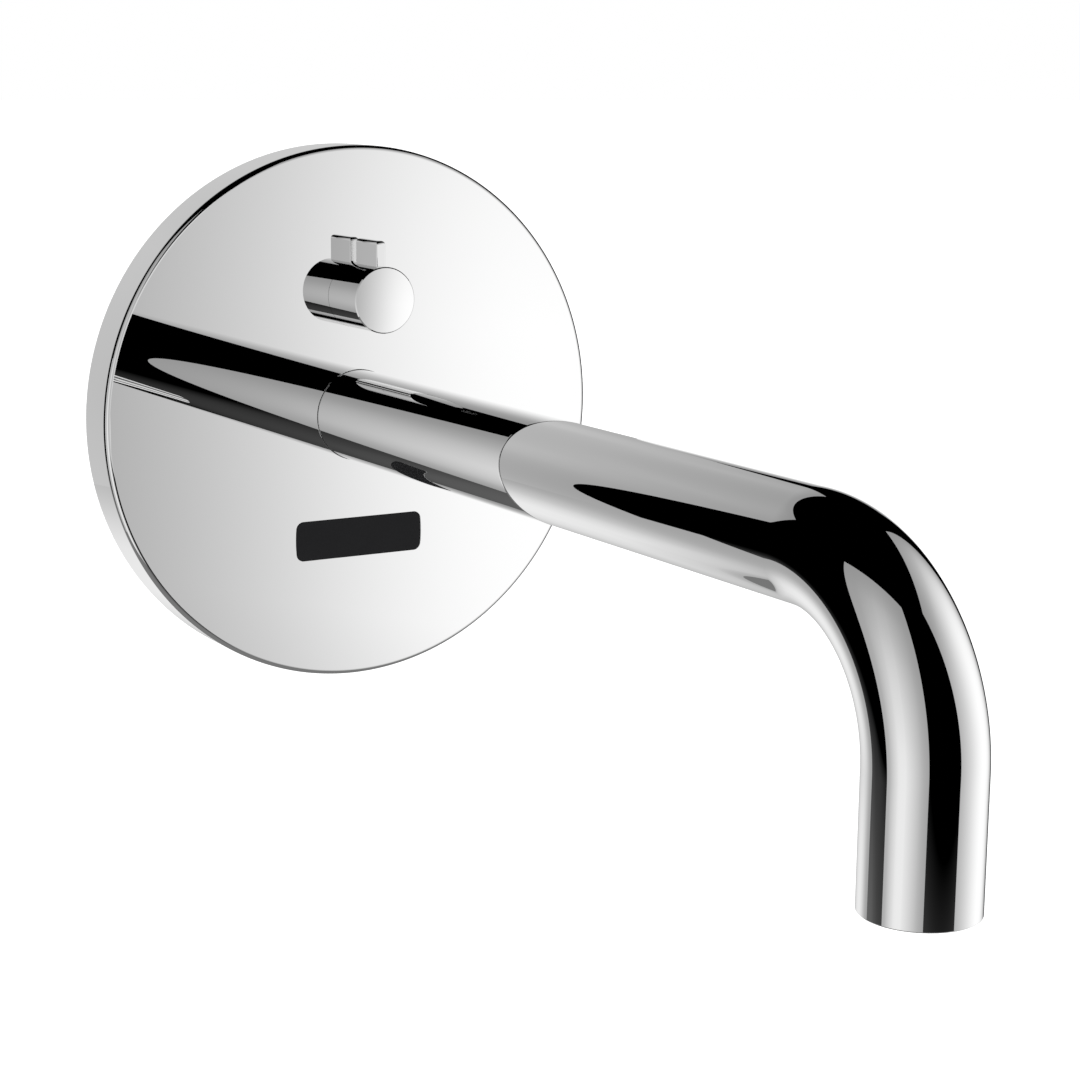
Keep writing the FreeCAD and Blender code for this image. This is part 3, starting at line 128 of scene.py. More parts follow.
def add_node(tree, kind, settings=None, **inputs):
    """Adds a node with its settings and its inputs, where an input is a value or another node's socket."""
    node = tree.nodes.new(kind)
    for name, value in (settings or {}).items():
        if name == "stops":
            node.color_ramp.interpolation = "CARDINAL"
            for place, level in value[1:-1]:
                node.color_ramp.elements.new(place)
            for stop, (place, level) in zip(node.color_ramp.elements, value):
                stop.position = place
                stop.color = (level, level, level, 1)
        else:
            setattr(node, name, value)
    for name, value in inputs.items():
        key = int(name[1:]) if name[0] == "n" and name[1:].isdigit() else name.replace("_", " ")
        socket = node.inputs[key]
        if isinstance(value, bpy.types.NodeSocket):
            tree.links.new(value, socket)
        else:
            socket.default_value = value
    return node


def new_material(name):
    material = bpy.data.materials.new(name)
    material.use_nodes = True
    material.node_tree.nodes.clear()
    tree = material.node_tree
    return material, tree, add_node(tree, "ShaderNodeTexCoord").outputs["Object"]


def finish_material(material, tree, **inputs):
    """Ends a material with one surface shader that has these inputs."""
    shader = add_node(tree, "ShaderNodeBsdfPrincipled", **inputs)
    add_node(tree, "ShaderNodeOutputMaterial", Surface=shader.outputs[0])
    return material


def broken_edges(tree, radius, relief, depth):
    """Normal of a surface whose sharp edges have a small radius and whose relief is this deep."""
    edges = add_node(tree, "ShaderNodeBevel", {"samples": 6}, Radius=radius * MM)
    return add_node(tree, "ShaderNodeBump", Height=relief, Distance=depth * MM,
                    Normal=edges.outputs[0]).outputs[0]


def mirror_chrome():
    """Bright chromium over buffed nickel: a neutral mirror with only a trace of polishing haze."""
    material, tree, place = new_material("mirror_chrome_plate")
    haze = add_node(tree, "ShaderNodeTexNoise", Vector=place, Scale=grain(16.0), Detail=4.0)
    rough = add_node(tree, "ShaderNodeMapRange", Value=haze.outputs["Fac"], To_Min=0.0008, To_Max=0.0034)
    return finish_material(material, tree, Base_Color=colour(0xF3F3F3), Metallic=1.0,
                           Roughness=rough.outputs["Result"])


def sand_cast_brass():
    """Dezincification resistant brass cast in sand: dull and gritty, with the faces that seal milled
    bright."""
    material, tree, place = new_material("sand_cast_brass")
    grit = add_node(tree, "ShaderNodeTexNoise", Vector=place, Scale=grain(0.6), Detail=5.0, Roughness=0.6)
    swell = add_node(tree, "ShaderNodeTexNoise", Vector=place, Scale=grain(7.0), Detail=3.0)
    skin = add_node(tree, "ShaderNodeMix", {"data_type": "RGBA"}, Factor=swell.outputs["Fac"],
                    n6=colour(0xA8843E), n7=colour(0xCFA95C))
    facing = add_node(tree, "ShaderNodeSeparateXYZ",
                      Vector=add_node(tree, "ShaderNodeTexCoord").outputs["Normal"])
    lowest = add_node(tree, "ShaderNodeMath", {"operation": "MINIMUM"}, n0=facing.outputs["Y"],
                      n1=facing.outputs["Z"])
    milled = add_node(tree, "ShaderNodeMath", {"operation": "LESS_THAN"}, n0=lowest.outputs[0], n1=-0.999)
    cutter = add_node(tree, "ShaderNodeTexWave", {"wave_type": "RINGS", "rings_direction": "SPHERICAL"},
                      Vector=place, Scale=grain(0.8) * math.pi / 10, Distortion=0.4)
    base = add_node(tree, "ShaderNodeMix", {"data_type": "RGBA"}, Factor=milled.outputs[0],
                    n6=skin.outputs[2], n7=colour(0xE2C078))
    relief = add_node(tree, "ShaderNodeMix", Factor=milled.outputs[0], n2=grit.outputs["Fac"],
                      n3=cutter.outputs["Fac"])
    cast_rough = add_node(tree, "ShaderNodeMapRange", Value=swell.outputs["Fac"], To_Min=0.40, To_Max=0.58)
    rough = add_node(tree, "ShaderNodeMix", Factor=milled.outputs[0], n2=cast_rough.outputs["Result"],
                     n3=0.22)
    depth = add_node(tree, "ShaderNodeMath", {"operation": "MULTIPLY_ADD"}, n0=milled.outputs[0],
                     n1=-0.9, n2=1.0)
    height = add_node(tree, "ShaderNodeMath", {"operation": "MULTIPLY"}, n0=relief.outputs[0],
                      n1=depth.outputs[0])
    return finish_material(material, tree, Base_Color=base.outputs[2], Metallic=1.0,
                           Roughness=rough.outputs[0],
                           Normal=broken_edges(tree, 0.6, height.outputs[0], 0.12))


def turned_brass(name, stretch):
    """Free cutting brass bar off the lathe: bright, with the tool's fine rings round it.

    The stretch says how much faster the pattern runs along each axis, fastest along the lathe's axis."""
    material, tree, place = new_material(name)
    along = add_node(tree, "ShaderNodeMapping", Vector=place, Scale=stretch)
    rings = add_node(tree, "ShaderNodeTexNoise", Vector=along.outputs[0], Scale=grain(8.0), Detail=2.0)
    tarnish = add_node(tree, "ShaderNodeTexNoise", Vector=place, Scale=grain(5.0), Detail=3.0)
    base = add_node(tree, "ShaderNodeMix", {"data_type": "RGBA"}, Factor=tarnish.outputs["Fac"],
                    n6=colour(0xC8A050), n7=colour(0xE0BE74))
    rough = add_node(tree, "ShaderNodeMapRange", Value=rings.outputs["Fac"], To_Min=0.14, To_Max=0.30)
    return finish_material(material, tree, Base_Color=base.outputs[2], Metallic=1.0,
                           Roughness=rough.outputs["Result"],
                           Normal=broken_edges(tree, 0.2, rings.outputs["Fac"], 0.02))


def stainless_steel():
    """Cold headed and drawn stainless steel: grey, satin, with drawing lines along it."""
    material, tree, place = new_material("drawn_stainless_steel")
    along = add_node(tree, "ShaderNodeMapping", Vector=place, Scale=(20.0, 1.0, 20.0))
    lines = add_node(tree, "ShaderNodeTexNoise", Vector=along.outputs[0], Scale=grain(6.0), Detail=2.0)
    base = add_node(tree, "ShaderNodeMix", {"data_type": "RGBA"}, Factor=lines.outputs["Fac"],
                    n6=colour(0xB4B4B2), n7=colour(0xD2D1CD))
    rough = add_node(tree, "ShaderNodeMapRange", Value=lines.outputs["Fac"], To_Min=0.20, To_Max=0.36)
    return finish_material(material, tree, Base_Color=base.outputs[2], Metallic=1.0,
                           Roughness=rough.outputs["Result"],
                           Normal=broken_edges(tree, 0.12, lines.outputs["Fac"], 0.01))


def woven_wire(name, centre_x):
    """Stainless steel gauze pressed to a basket: fine square mesh of pale wires, with dark grey painted
    into its gaps as shade, in place of holes through it. The real mesh of 0.4 mm is drawn at 0.7 mm so
    that it shows."""
    mesh_width = 0.7        # millimetres
    basket_radius = 7.8     # millimetres
    material, tree, place = new_material(name)
    centred = add_node(tree, "ShaderNodeMapping", Vector=place, Location=(-centre_x, 0, -knob_z))
    parts = add_node(tree, "ShaderNodeSeparateXYZ", Vector=centred.outputs[0])
    turn = add_node(tree, "ShaderNodeMath", {"operation": "ARCTAN2"}, n0=parts.outputs["Z"],
                    n1=parts.outputs["X"])
    wires_round = math.tau * basket_radius / mesh_width
    across = add_node(tree, "ShaderNodeMath", {"operation": "MULTIPLY"}, n0=turn.outputs[0],
                      n1=wires_round / 2)
    along = add_node(tree, "ShaderNodeMath", {"operation": "MULTIPLY"}, n0=parts.outputs["Y"],
                     n1=grain(mesh_width) * math.pi)
    warp = add_node(tree, "ShaderNodeMath", {"operation": "SINE"}, n0=across.outputs[0])
    weft = add_node(tree, "ShaderNodeMath", {"operation": "SINE"}, n0=along.outputs[0])
    weave = add_node(tree, "ShaderNodeMath", {"operation": "MULTIPLY"}, n0=warp.outputs[0],
                     n1=weft.outputs[0])
    painted_gap_shade = add_node(tree, "ShaderNodeMath", {"operation": "ABSOLUTE"}, n0=weave.outputs[0])
    # Painted shade: the cells between the wires turn dark grey, standing in for the shaded holes through
    # the gauze
    base = add_node(tree, "ShaderNodeMix", {"data_type": "RGBA"}, Factor=painted_gap_shade.outputs[0],
                    n6=colour(0xC4C4C0), n7=colour(0x3A3A38))
    return finish_material(material, tree, Base_Color=base.outputs[2], Metallic=1.0, Roughness=0.35,
                           Normal=broken_edges(tree, 0.1, weave.outputs[0], 0.08))


def rubber():
    """Moulded EPDM rubber: black with a grey bloom, dull and very slightly uneven."""
    material, tree, place = new_material("epdm_rubber")
    bloom = add_node(tree, "ShaderNodeTexNoise", Vector=place, Scale=grain(3.0), Detail=4.0)
    skin = add_node(tree, "ShaderNodeTexNoise", Vector=place, Scale=grain(0.35), Detail=2.0)
    base = add_node(tree, "ShaderNodeMix", {"data_type": "RGBA"}, Factor=bloom.outputs["Fac"],
                    n6=colour(0x141415), n7=colour(0x262627))
    rough = add_node(tree, "ShaderNodeMapRange", Value=bloom.outputs["Fac"], To_Min=0.62, To_Max=0.82)
    return finish_material(material, tree, Base_Color=base.outputs[2], Roughness=rough.outputs["Result"],
                           Normal=broken_edges(tree, 0.3, skin.outputs["Fac"], 0.03))


def glass_filled_nylon(name, dark, light):
    """Polyamide with glass fibre, moulded in a spark eroded tool: matt and pebbled, with pale fibre
    streaks along the flow."""
    material, tree, place = new_material(name)
    pebble = add_node(tree, "ShaderNodeTexVoronoi", {"feature": "SMOOTH_F1"}, Vector=place,
                      Scale=grain(0.5))
    flow = add_node(tree, "ShaderNodeMapping", Vector=place, Scale=(1.0, 2.0, 2.5))
    fibres = add_node(tree, "ShaderNodeTexNoise", Vector=flow.outputs[0], Scale=grain(12.0), Detail=4.0,
                      Distortion=0.8)
    base = add_node(tree, "ShaderNodeMix", {"data_type": "RGBA"}, Factor=fibres.outputs["Fac"],
                    n6=colour(dark), n7=colour(light))
    rough = add_node(tree, "ShaderNodeMapRange", Value=fibres.outputs["Fac"], To_Min=0.48, To_Max=0.66)
    return finish_material(material, tree, Base_Color=base.outputs[2], Roughness=rough.outputs["Result"],
                           Normal=broken_edges(tree, 0.35, pebble.outputs["Distance"], 0.06))


def acetal(name, dark, light):
    """Moulded acetal: smooth, waxy and slightly cloudy, with soft highlights."""
    material, tree, place = new_material(name)
    cloud = add_node(tree, "ShaderNodeTexNoise", Vector=place, Scale=grain(6.0), Detail=2.0)
    skin = add_node(tree, "ShaderNodeTexNoise", Vector=place, Scale=grain(1.2), Detail=2.0)
    base = add_node(tree, "ShaderNodeMix", {"data_type": "RGBA"}, Factor=cloud.outputs["Fac"],
                    n6=colour(dark), n7=colour(light))
    rough = add_node(tree, "ShaderNodeMapRange", Value=skin.outputs["Fac"], To_Min=0.24, To_Max=0.34)
    return finish_material(material, tree, Base_Color=base.outputs[2], Roughness=rough.outputs["Result"],
                           Normal=broken_edges(tree, 0.25, skin.outputs["Fac"], 0.02))


def infrared_acrylic():
    """Cast acrylic that only infrared light passes: nearly black, with a weak even sheen."""
    material, tree, place = new_material("infrared_acrylic")
    depth = add_node(tree, "ShaderNodeTexNoise", Vector=place, Scale=grain(14.0), Detail=2.0)
    base = add_node(tree, "ShaderNodeMix", {"data_type": "RGBA"}, Factor=depth.outputs["Fac"],
                    n6=colour(0x121214), n7=colour(0x19191B))
    rough = add_node(tree, "ShaderNodeMapRange", Value=depth.outputs["Fac"], To_Min=0.40, To_Max=0.46)
    return finish_material(material, tree, Base_Color=base.outputs[2], Roughness=rough.outputs["Result"],
                           IOR=1.49, Specular_IOR_Level=0.15)


def epoxy(name, dark, light, clear):
    """Cast epoxy of an infrared diode: water clear or smoked, glossy as a lens."""
    material, tree, place = new_material(name)
    cloud = add_node(tree, "ShaderNodeTexNoise", Vector=place, Scale=grain(2.0), Detail=2.0)
    base = add_node(tree, "ShaderNodeMix", {"data_type": "RGBA"}, Factor=cloud.outputs["Fac"],
                    n6=colour(dark), n7=colour(light))
    rough = add_node(tree, "ShaderNodeMapRange", Value=cloud.outputs["Fac"], To_Min=0.08, To_Max=0.14)
    return finish_material(material, tree, Base_Color=base.outputs[2], Roughness=rough.outputs["Result"],
                           IOR=1.54, Transmission_Weight=clear)


def circuit_laminate():
    """Glass epoxy laminate under green solder mask: copper tracks show as paler lines."""
    material, tree, place = new_material("green_circuit_laminate")
    upright = add_node(tree, "ShaderNodeMapping", Vector=place, Rotation=(QUARTER_TURN, 0, 0))
    tracks = add_node(tree, "ShaderNodeTexBrick", {"offset": 0.35, "squash": 0.7, "squash_frequency": 3},
                      Vector=upright.outputs[0], Color1=colour(0x0E4F2F), Color2=colour(0x10573A),
                      Mortar=colour(0x2A8A55), Scale=grain(8.0), Mortar_Size=0.035, Row_Height=0.3,
                      Brick_Width=0.9)
    return finish_material(material, tree, Base_Color=tracks.outputs["Color"], Roughness=0.3,
                           Normal=broken_edges(tree, 0.1, tracks.outputs["Fac"], 0.03))


def battery_sleeve():
    """Shrunk PVC sleeve of a battery: dark slate with a pale band round its inner end, satin."""
    band_from = 0.78        # share of the cell's height
    material, tree, place = new_material("printed_pvc_sleeve")
    low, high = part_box("battery_cell")
    parts = add_node(tree, "ShaderNodeSeparateXYZ", Vector=place)
    share = add_node(tree, "ShaderNodeMapRange", Value=parts.outputs["Z"], From_Min=low.z, From_Max=high.z)
    band = add_node(tree, "ShaderNodeMath", {"operation": "GREATER_THAN"}, n0=share.outputs["Result"],
                    n1=band_from)
    wrinkle = add_node(tree, "ShaderNodeTexNoise", Vector=place, Scale=grain(4.0), Detail=3.0)
    base = add_node(tree, "ShaderNodeMix", {"data_type": "RGBA"}, Factor=band.outputs[0],
                    n6=colour(0x1E2430), n7=colour(0xB9BCC2))
    rough = add_node(tree, "ShaderNodeMapRange", Value=wrinkle.outputs["Fac"], To_Min=0.26, To_Max=0.40)
    return finish_material(material, tree, Base_Color=base.outputs[2], Roughness=rough.outputs["Result"],
                           Normal=broken_edges(tree, 0.4, wrinkle.outputs["Fac"], 0.06))


def dress_parts():
    """Gives each CAD part the material of its slot, or its own."""
    by_slot = {
        "polished_chrome": mirror_chrome(),
        "cast_brass": turned_brass("turned_brass_along_y", (1.0, 20.0, 1.0)),
        "stainless_steel": stainless_steel(),
        "black_rubber": rubber(),
        "grey_nylon": glass_filled_nylon("grey_glass_filled_nylon", 0x585A5C, 0x666869),
        "black_nylon": glass_filled_nylon("black_glass_filled_nylon", 0x111112, 0x232324),
        "white_acetal": acetal("white_acetal", 0xDAD9D2, 0xEBEAE4),
        "red_acetal": acetal("red_acetal", 0x8E120C, 0xB02218),
        "infrared_acrylic": infrared_acrylic(),
        "clear_epoxy": epoxy("clear_epoxy", 0xE6EAEE, 0xF6F8FA, 0.9),
        "dark_epoxy": epoxy("smoked_epoxy", 0x08080C, 0x14141C, 0.0),
        "green_laminate": circuit_laminate(),
        "battery_sleeve": battery_sleeve(),
    }
    by_part = {
        "valve_body": sand_cast_brass(),
        "outlet_bush": turned_brass("turned_brass_along_z", (1.0, 1.0, 20.0)),
        "hot_strainer": woven_wire("hot_strainer_gauze", -inlet_x),
        "cold_strainer": woven_wire("cold_strainer_gauze", inlet_x),
    }
    for part in frame["record"]["subparts"]:
        name = part["node"]
        slots = frame["nodes"][name].data.materials
        slots.clear()
        slots.append(by_part.get(name) or by_slot[part["material_slot"]])
    return by_slot


# Shapes

def ring_turn():
    """Turns a shape built flat on XY so that its axis lies along Y, facing the room."""
    return Matrix.Rotation(QUARTER_TURN, 4, "X")


def edges_of(verts):
    return list({edge for vert in verts for edge in vert.link_edges})


def parts_of(geometry, kind):
    return [item for item in geometry if isinstance(item, kind)]


def add_circle(bm, x, y, z, radius, sides):
    """Closed loop of edges about a Y axis."""
    place = Matrix.Translation((x, y, z)) @ ring_turn()
    made = bmesh.ops.create_circle(bm, segments=sides, radius=radius, matrix=place)
    return edges_of(made["verts"])


def extrude(bm, edges, shift=(0, 0, 0), radius_change=0.0):
    """Extrudes a loop by a shift, with its radius about the Y axis changed."""
    made = bmesh.ops.extrude_edge_only(bm, edges=edges)["geom"]
    verts = parts_of(made, bmesh.types.BMVert)
    bmesh.ops.translate(bm, verts=verts, vec=shift)
    if radius_change:
        for vert in verts:
            vert.co += Vector((vert.co.x, 0, vert.co.z)).normalized() * radius_change
    return parts_of(made, bmesh.types.BMEdge)


def turned(profile, x, z, sides):
    """Solid of revolution about the Y line through x and z, from points of radius and y."""
    bm = bmesh.new()
    verts = [bm.verts.new((x + radius, y, z)) for radius, y in profile]
    edges = [bm.edges.new(pair) for pair in zip(verts, verts[1:])]
    bmesh.ops.spin(bm, geom=verts + edges, cent=(x, 0, z), axis=(0, 1, 0), angle=math.tau, steps=sides,
                   use_merge=True)
    return bm


def rounding_layer(bm):
    """Marks the narrow faces of rounded edges, so that they don't tilt the mirrors beside them."""
    return bm.faces.layers.int.get("rounded") or bm.faces.layers.int.new("rounded")


def round_edges(bm, width, segments=3, angle=SHARP_ANGLE, where=lambda point: True):
    """Small radius on every sharp edge, or on those whose ends lie where it is wanted."""
    rounded = rounding_layer(bm)
    sharp = [edge for edge in bm.edges if len(edge.link_faces) == 2 and edge.calc_face_angle(0) > angle
             and all(where(vert.co) for vert in edge.verts)]
    made = bmesh.ops.bevel(bm, geom=sharp, offset=width, segments=segments, profile=0.5,
                           affect="EDGES", material=-1)
    for face in made["faces"]:
        face[rounded] = 1


def add_piece(name, bm, material, body, replaced=()):
    """Makes an object from a bmesh, smooth except across its sharp edges, and sets what carries it."""
    rounded = rounding_layer(bm)
    bmesh.ops.remove_doubles(bm, verts=bm.verts, dist=MERGE_DISTANCE)
    bmesh.ops.recalc_face_normals(bm, faces=bm.faces)
    for face in bm.faces:
        face.smooth = max(abs(part) for part in face.normal) < FLAT_SHARE
    for edge in bm.edges:
        edge.smooth = (len(edge.link_faces) == 2 and edge.calc_face_angle(0) < SHARP_ANGLE
                       and edge.link_faces[0][rounded] == edge.link_faces[1][rounded])
    mesh = bpy.data.meshes.new(name)
    bm.to_mesh(mesh)
    bm.free()
    mesh.materials.append(material)
    piece = bpy.data.objects.new(name, mesh)
    bpy.context.scene.collection.objects.link(piece)
    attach(piece, body)
    if replaced:
        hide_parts(*replaced)
    return piece


def polished_spout(chrome):
    """One tube with a quarter bend, open at both ends."""
    bm = bmesh.new()
    edges = add_circle(bm, 0, tube_high.y, 0, tube_radius, ROUND_SIDES)
    bend_start = outlet_y + bend_radius
    edges = extrude(bm, edges, (0, bend_start - tube_high.y, 0))
    spun = bmesh.ops.spin(bm, geom=edges, cent=(0, bend_start, -bend_radius), axis=(1, 0, 0),
                          angle=QUARTER_TURN, steps=BEND_STEPS)
    edges = parts_of(spun["geom_last"], bmesh.types.BMEdge)
    extrude(bm, edges, (0, 0, tube_low.z + bend_radius))
    bmesh.ops.recalc_face_normals(bm, faces=bm.faces)
    bmesh.ops.solidify(bm, geom=bm.faces[:], thickness=tube_wall)
    round_edges(bm, tube_edge, angle=STEEP_ANGLE)
    return add_piece("spout_tube_polished", bm, chrome, "tap_body", ["spout_tube"])


def window_loop(bm, y, beyond=0.0):
    """Outline of the window with rounded corners and bowed ends, or one that lies beyond it, in a
    bmesh that holds nothing yet."""
    half_width = window_high.x - window_flange_lip + beyond
    half_height = (window_high.z - window_low.z) / 2 - window_flange_lip + beyond
    middle = (window_high.z + window_low.z) / 2
    corners = [bm.verts.new((half_width * across, y, middle + half_height * up)) for across, up in
               ((-1, -1), (1, -1), (1, 1), (-1, 1))]
    bm.faces.new(corners)
    bmesh.ops.bevel(bm, geom=corners, offset=window_corner, segments=CORNER_STEPS,
                    profile=0.5, affect="VERTICES", material=-1)
    bmesh.ops.delete(bm, geom=bm.faces[:], context="FACES_ONLY")
    ends = [edge for edge in bm.edges
            if abs(edge.verts[0].co.x - edge.verts[1].co.x) < UPRIGHT_WITHIN]
    bmesh.ops.subdivide_edges(bm, edges=ends, cuts=CORNER_STEPS)
    for vert in bm.verts:
        vert.co.x -= math.copysign(window_bow, vert.co.x) * ((vert.co.z - middle) / half_height) ** 2
    return bm.edges[:]


def polished_plate(chrome):
    """Deep drawn cup with a rounded front edge and its three openings."""
    bm = bmesh.new()
    front = plate_low.y
    holes = window_loop(bm, front, beyond=window_gap)
    holes += add_circle(bm, 0, front, 0, tube_radius + plate_hole_gap, HOLE_SIDES)
    holes += add_circle(bm, 0, front, knob_z, knob_hole_radius, HOLE_SIDES)
    outline = add_circle(bm, 0, front, 0, plate_radius, ROUND_SIDES)
    bmesh.ops.triangle_fill(bm, use_beauty=True, edges=holes + outline, normal=(0, -1, 0))
    hole_ends = extrude(bm, holes, (0, plate_wall, 0))
    edges = extrude(bm, outline, (0, plate_high.y - front, 0))
    edges = extrude(bm, edges, (0, 0, 0), -plate_wall)
    edges = extrude(bm, edges, (0, front + plate_wall - plate_high.y, 0))
    bmesh.ops.triangle_fill(bm, use_beauty=True, edges=hole_ends + edges, normal=(0, 1, 0))
    bmesh.ops.recalc_face_normals(bm, faces=bm.faces)
    round_edges(bm, plate_front_edge, segments=PLATE_EDGE_STEPS,
                where=lambda point: point.y < front + MM and point.xz.length > plate_radius - MM)
    round_edges(bm, plate_edge)
    return add_piece("wall_plate_polished", bm, chrome, "tap_body", ["escutcheon_plate"])


def polished_knob(chrome):
    """Turned cap with a slightly crowned face, bored from behind for its hub."""
    rim = knob_radius - knob_chamfer
    crown_radius = (rim ** 2 + knob_crown ** 2) / (2 * knob_crown)
    radii = [rim * step / CROWN_STEPS for step in range(CROWN_STEPS + 1)]
    face = [(radius, knob_low.y + crown_radius - math.sqrt(crown_radius ** 2 - radius ** 2))
            for radius in radii]
    back = plate_low.y - knob_seam
    inside = knob_low.y + knob_front_wall
    profile = face + [(knob_radius, face[-1][1] + knob_chamfer), (knob_radius, back),
                      (knob_bore_radius, back), (knob_bore_radius, inside), (0, inside)]
    return add_piece("temperature_knob_polished", turned(profile, 0, knob_z, ROUND_SIDES), chrome,
                     "temperature_control", ["temperature_knob"])


def polished_tab(chrome):
    """Upright blade pressed into the knob, with softened edges."""
    bm = bmesh.new()
    size = tab_high - tab_low
    middle = (tab_high + tab_low) / 2
    bmesh.ops.create_cube(bm, size=1.0, matrix=Matrix.Translation(middle) @ Matrix.Diagonal((*size, 1)))
    round_edges(bm, tab_top_edge, segments=TAB_EDGE_STEPS, where=lambda point: point.z > middle.z)
    round_edges(bm, tab_edge)
    return add_piece("temperature_tab_polished", bm, chrome, "temperature_control",
                     ["temperature_tab"])


def infrared_window(acrylic):
    """Lens flush with the plate, on a flange behind it."""
    bm = bmesh.new()
    front = window_loop(bm, window_low.y)
    flange_front = window_high.y - window_flange_wall
    lens_foot = extrude(bm, front, (0, flange_front - window_low.y, 0))
    flange_rim = extrude(bm, lens_foot)
    middle = (window_low + window_high) / 2
    flange_size = window_high - window_low
    lens_size = flange_size - Vector((2, 0, 2)) * window_flange_lip
    growth = Vector((flange_size.x / lens_size.x, 1, flange_size.z / lens_size.z))
    bmesh.ops.scale(bm, verts=list({vert for edge in flange_rim for vert in edge.verts}), vec=growth,
                    space=Matrix.Translation(-middle))
    back = extrude(bm, flange_rim, (0, window_flange_wall, 0))
    bmesh.ops.triangle_fill(bm, use_beauty=True, edges=front, normal=(0, -1, 0))
    bmesh.ops.triangle_fill(bm, use_beauty=True, edges=back, normal=(0, 1, 0))
    bmesh.ops.recalc_face_normals(bm, faces=bm.faces)
    round_edges(bm, window_edge, angle=STEEP_ANGLE)
    add_piece("infrared_window", bm, acrylic, "tap_body", ["sensor_window"])


# Half inch parallel pipe thread in the inlets
thread_pitch = 1.814 * MM
thread_turns = 7
thread_steps = 48           # steps in one turn
thread_depth = 0.5 * MM     # ridge inside the tapped bore
thread_half_root = 0.75 * MM


def inlet_thread(name, x, brass):
    """Helical ridge of the thread in one inlet, from its mouth upward."""
    bm = bmesh.new()
    mouth = casting_low.z + thread_pitch
    ridge = ((0, -thread_half_root), (thread_depth, 0), (0, thread_half_root))
    verts = [bm.verts.new((x + inlet_bore_radius - depth, inlet_y, mouth + rise)) for depth, rise in ridge]
    face = bm.faces.new(verts)
    bmesh.ops.spin(bm, geom=[face] + verts + face.edges[:], cent=(x, inlet_y, mouth), axis=(0, 0, 1),
                   dvec=(0, 0, thread_pitch / thread_steps), angle=math.tau * thread_turns,
                   steps=thread_turns * thread_steps)
    add_piece(name, bm, brass, "tap_body")


def working_springs(steel):
    """Coil springs as pieces of their own, copied from the CAD springs that the joints list as deforming.
    """
    for joint in frame["record"]["behaviour"]["joints"]:
        for spring in joint.get("deforming_nodes", ()):
            node = spring["node"]
            bm = bmesh.new()
            bm.from_mesh(frame["nodes"][node].data)
            piece = add_piece(node + "_coil", bm, steel, "tap_body", [node])
            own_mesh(piece)


# Studio

# Viewpoint of the photograph: place in millimetres, heading from +Y towards +X, and the lens
# that gives its field of view on a 36 mm square frame
camera_place = Vector((-325.85, -671.56, 107.49)) * MM
camera_heading = math.radians(30.88)
camera_tilt = math.radians(-11.36)
camera_roll = math.radians(0.54)
camera_lens = 79.22
camera_frame = 36.0


def add_camera():
    data = bpy.data.cameras.new("camera")
    data.lens = camera_lens
    data.sensor_fit = "HORIZONTAL"
    data.sensor_width = camera_frame
    camera = bpy.data.objects.new("camera", data)
    turn = (Matrix.Rotation(-camera_heading, 4, "Z") @ Matrix.Rotation(QUARTER_TURN + camera_tilt, 4, "X")
            @ Matrix.Rotation(camera_roll, 4, "Z"))
    camera.matrix_world = Matrix.Translation(camera_place) @ turn
    bpy.context.scene.collection.objects.link(camera)
    bpy.context.scene.camera = camera


soft_level = 0.85           # how bright the finishes that aren't mirrors see the cards
floor_z = -0.45
floor_half_size = 30.0
floor_camera_lift = 0.35    # glow that only the camera sees, so that the floor is white


def card_glow(name, corner, along, upward, dim, bright, along_fade, upward_fade):
    """Light of a reflector card: a fade along it times a fade up it, as a mirror sees it."""
    material, tree, place = new_material(name)
    offset = add_node(tree, "ShaderNodeVectorMath", {"operation": "SUBTRACT"}, n0=place, n1=corner)
    fades = []
    for side, stops in ((along, along_fade), (upward, upward_fade)):
        share = add_node(tree, "ShaderNodeVectorMath", {"operation": "DOT_PRODUCT"}, n0=offset.outputs[0],
                         n1=side / side.length_squared)
        fades.append(add_node(tree, "ShaderNodeValToRGB", {"stops": stops}, Fac=share.outputs["Value"]))
    both = add_node(tree, "ShaderNodeMath", {"operation": "MULTIPLY"}, n0=fades[0].outputs[0],
                    n1=fades[1].outputs[0])
    level = add_node(tree, "ShaderNodeMapRange", Value=both.outputs[0], To_Min=dim, To_Max=bright)
    path = add_node(tree, "ShaderNodeLightPath")
    seen = add_node(tree, "ShaderNodeMix", Factor=path.outputs["Is Singular Ray"], n2=soft_level,
                    n3=level.outputs["Result"])
    glow = add_node(tree, "ShaderNodeEmission", Color=(1, 1, 1, 1), Strength=seen.outputs[0])
    add_node(tree, "ShaderNodeOutputMaterial", Surface=glow.outputs[0])
    material.cycles.emission_sampling = "NONE"
    return material


def add_card(name, corner, along, upward, dim, bright, along_fade, upward_fade, foot_share=1.0,
             seen_by=()):
    """Reflector card that only shiny surfaces see, or that lights only some pieces. Its foot may be
    shorter than its top."""
    corner, along, upward = Vector(corner), Vector(along), Vector(upward)
    bm = bmesh.new()
    bm.faces.new([bm.verts.new(point) for point in
                  (corner, corner + along * foot_share, corner + along + upward, corner + upward)])
    mesh = bpy.data.meshes.new(name)
    bm.to_mesh(mesh)
    bm.free()
    mesh.materials.append(card_glow(name + "_glow", corner, along, upward, dim, bright, along_fade,
                                    upward_fade))
    card = bpy.data.objects.new(name, mesh)
    card.visible_camera = False
    card.visible_diffuse = False
    card.visible_transmission = False
    card.visible_volume_scatter = False
    card.visible_shadow = False
    if seen_by:
        card.light_linking.receiver_collection = bpy.data.collections.new(name + "_receivers")
        for piece in seen_by:
            card.light_linking.receiver_collection.objects.link(piece)
    bpy.context.scene.collection.objects.link(card)


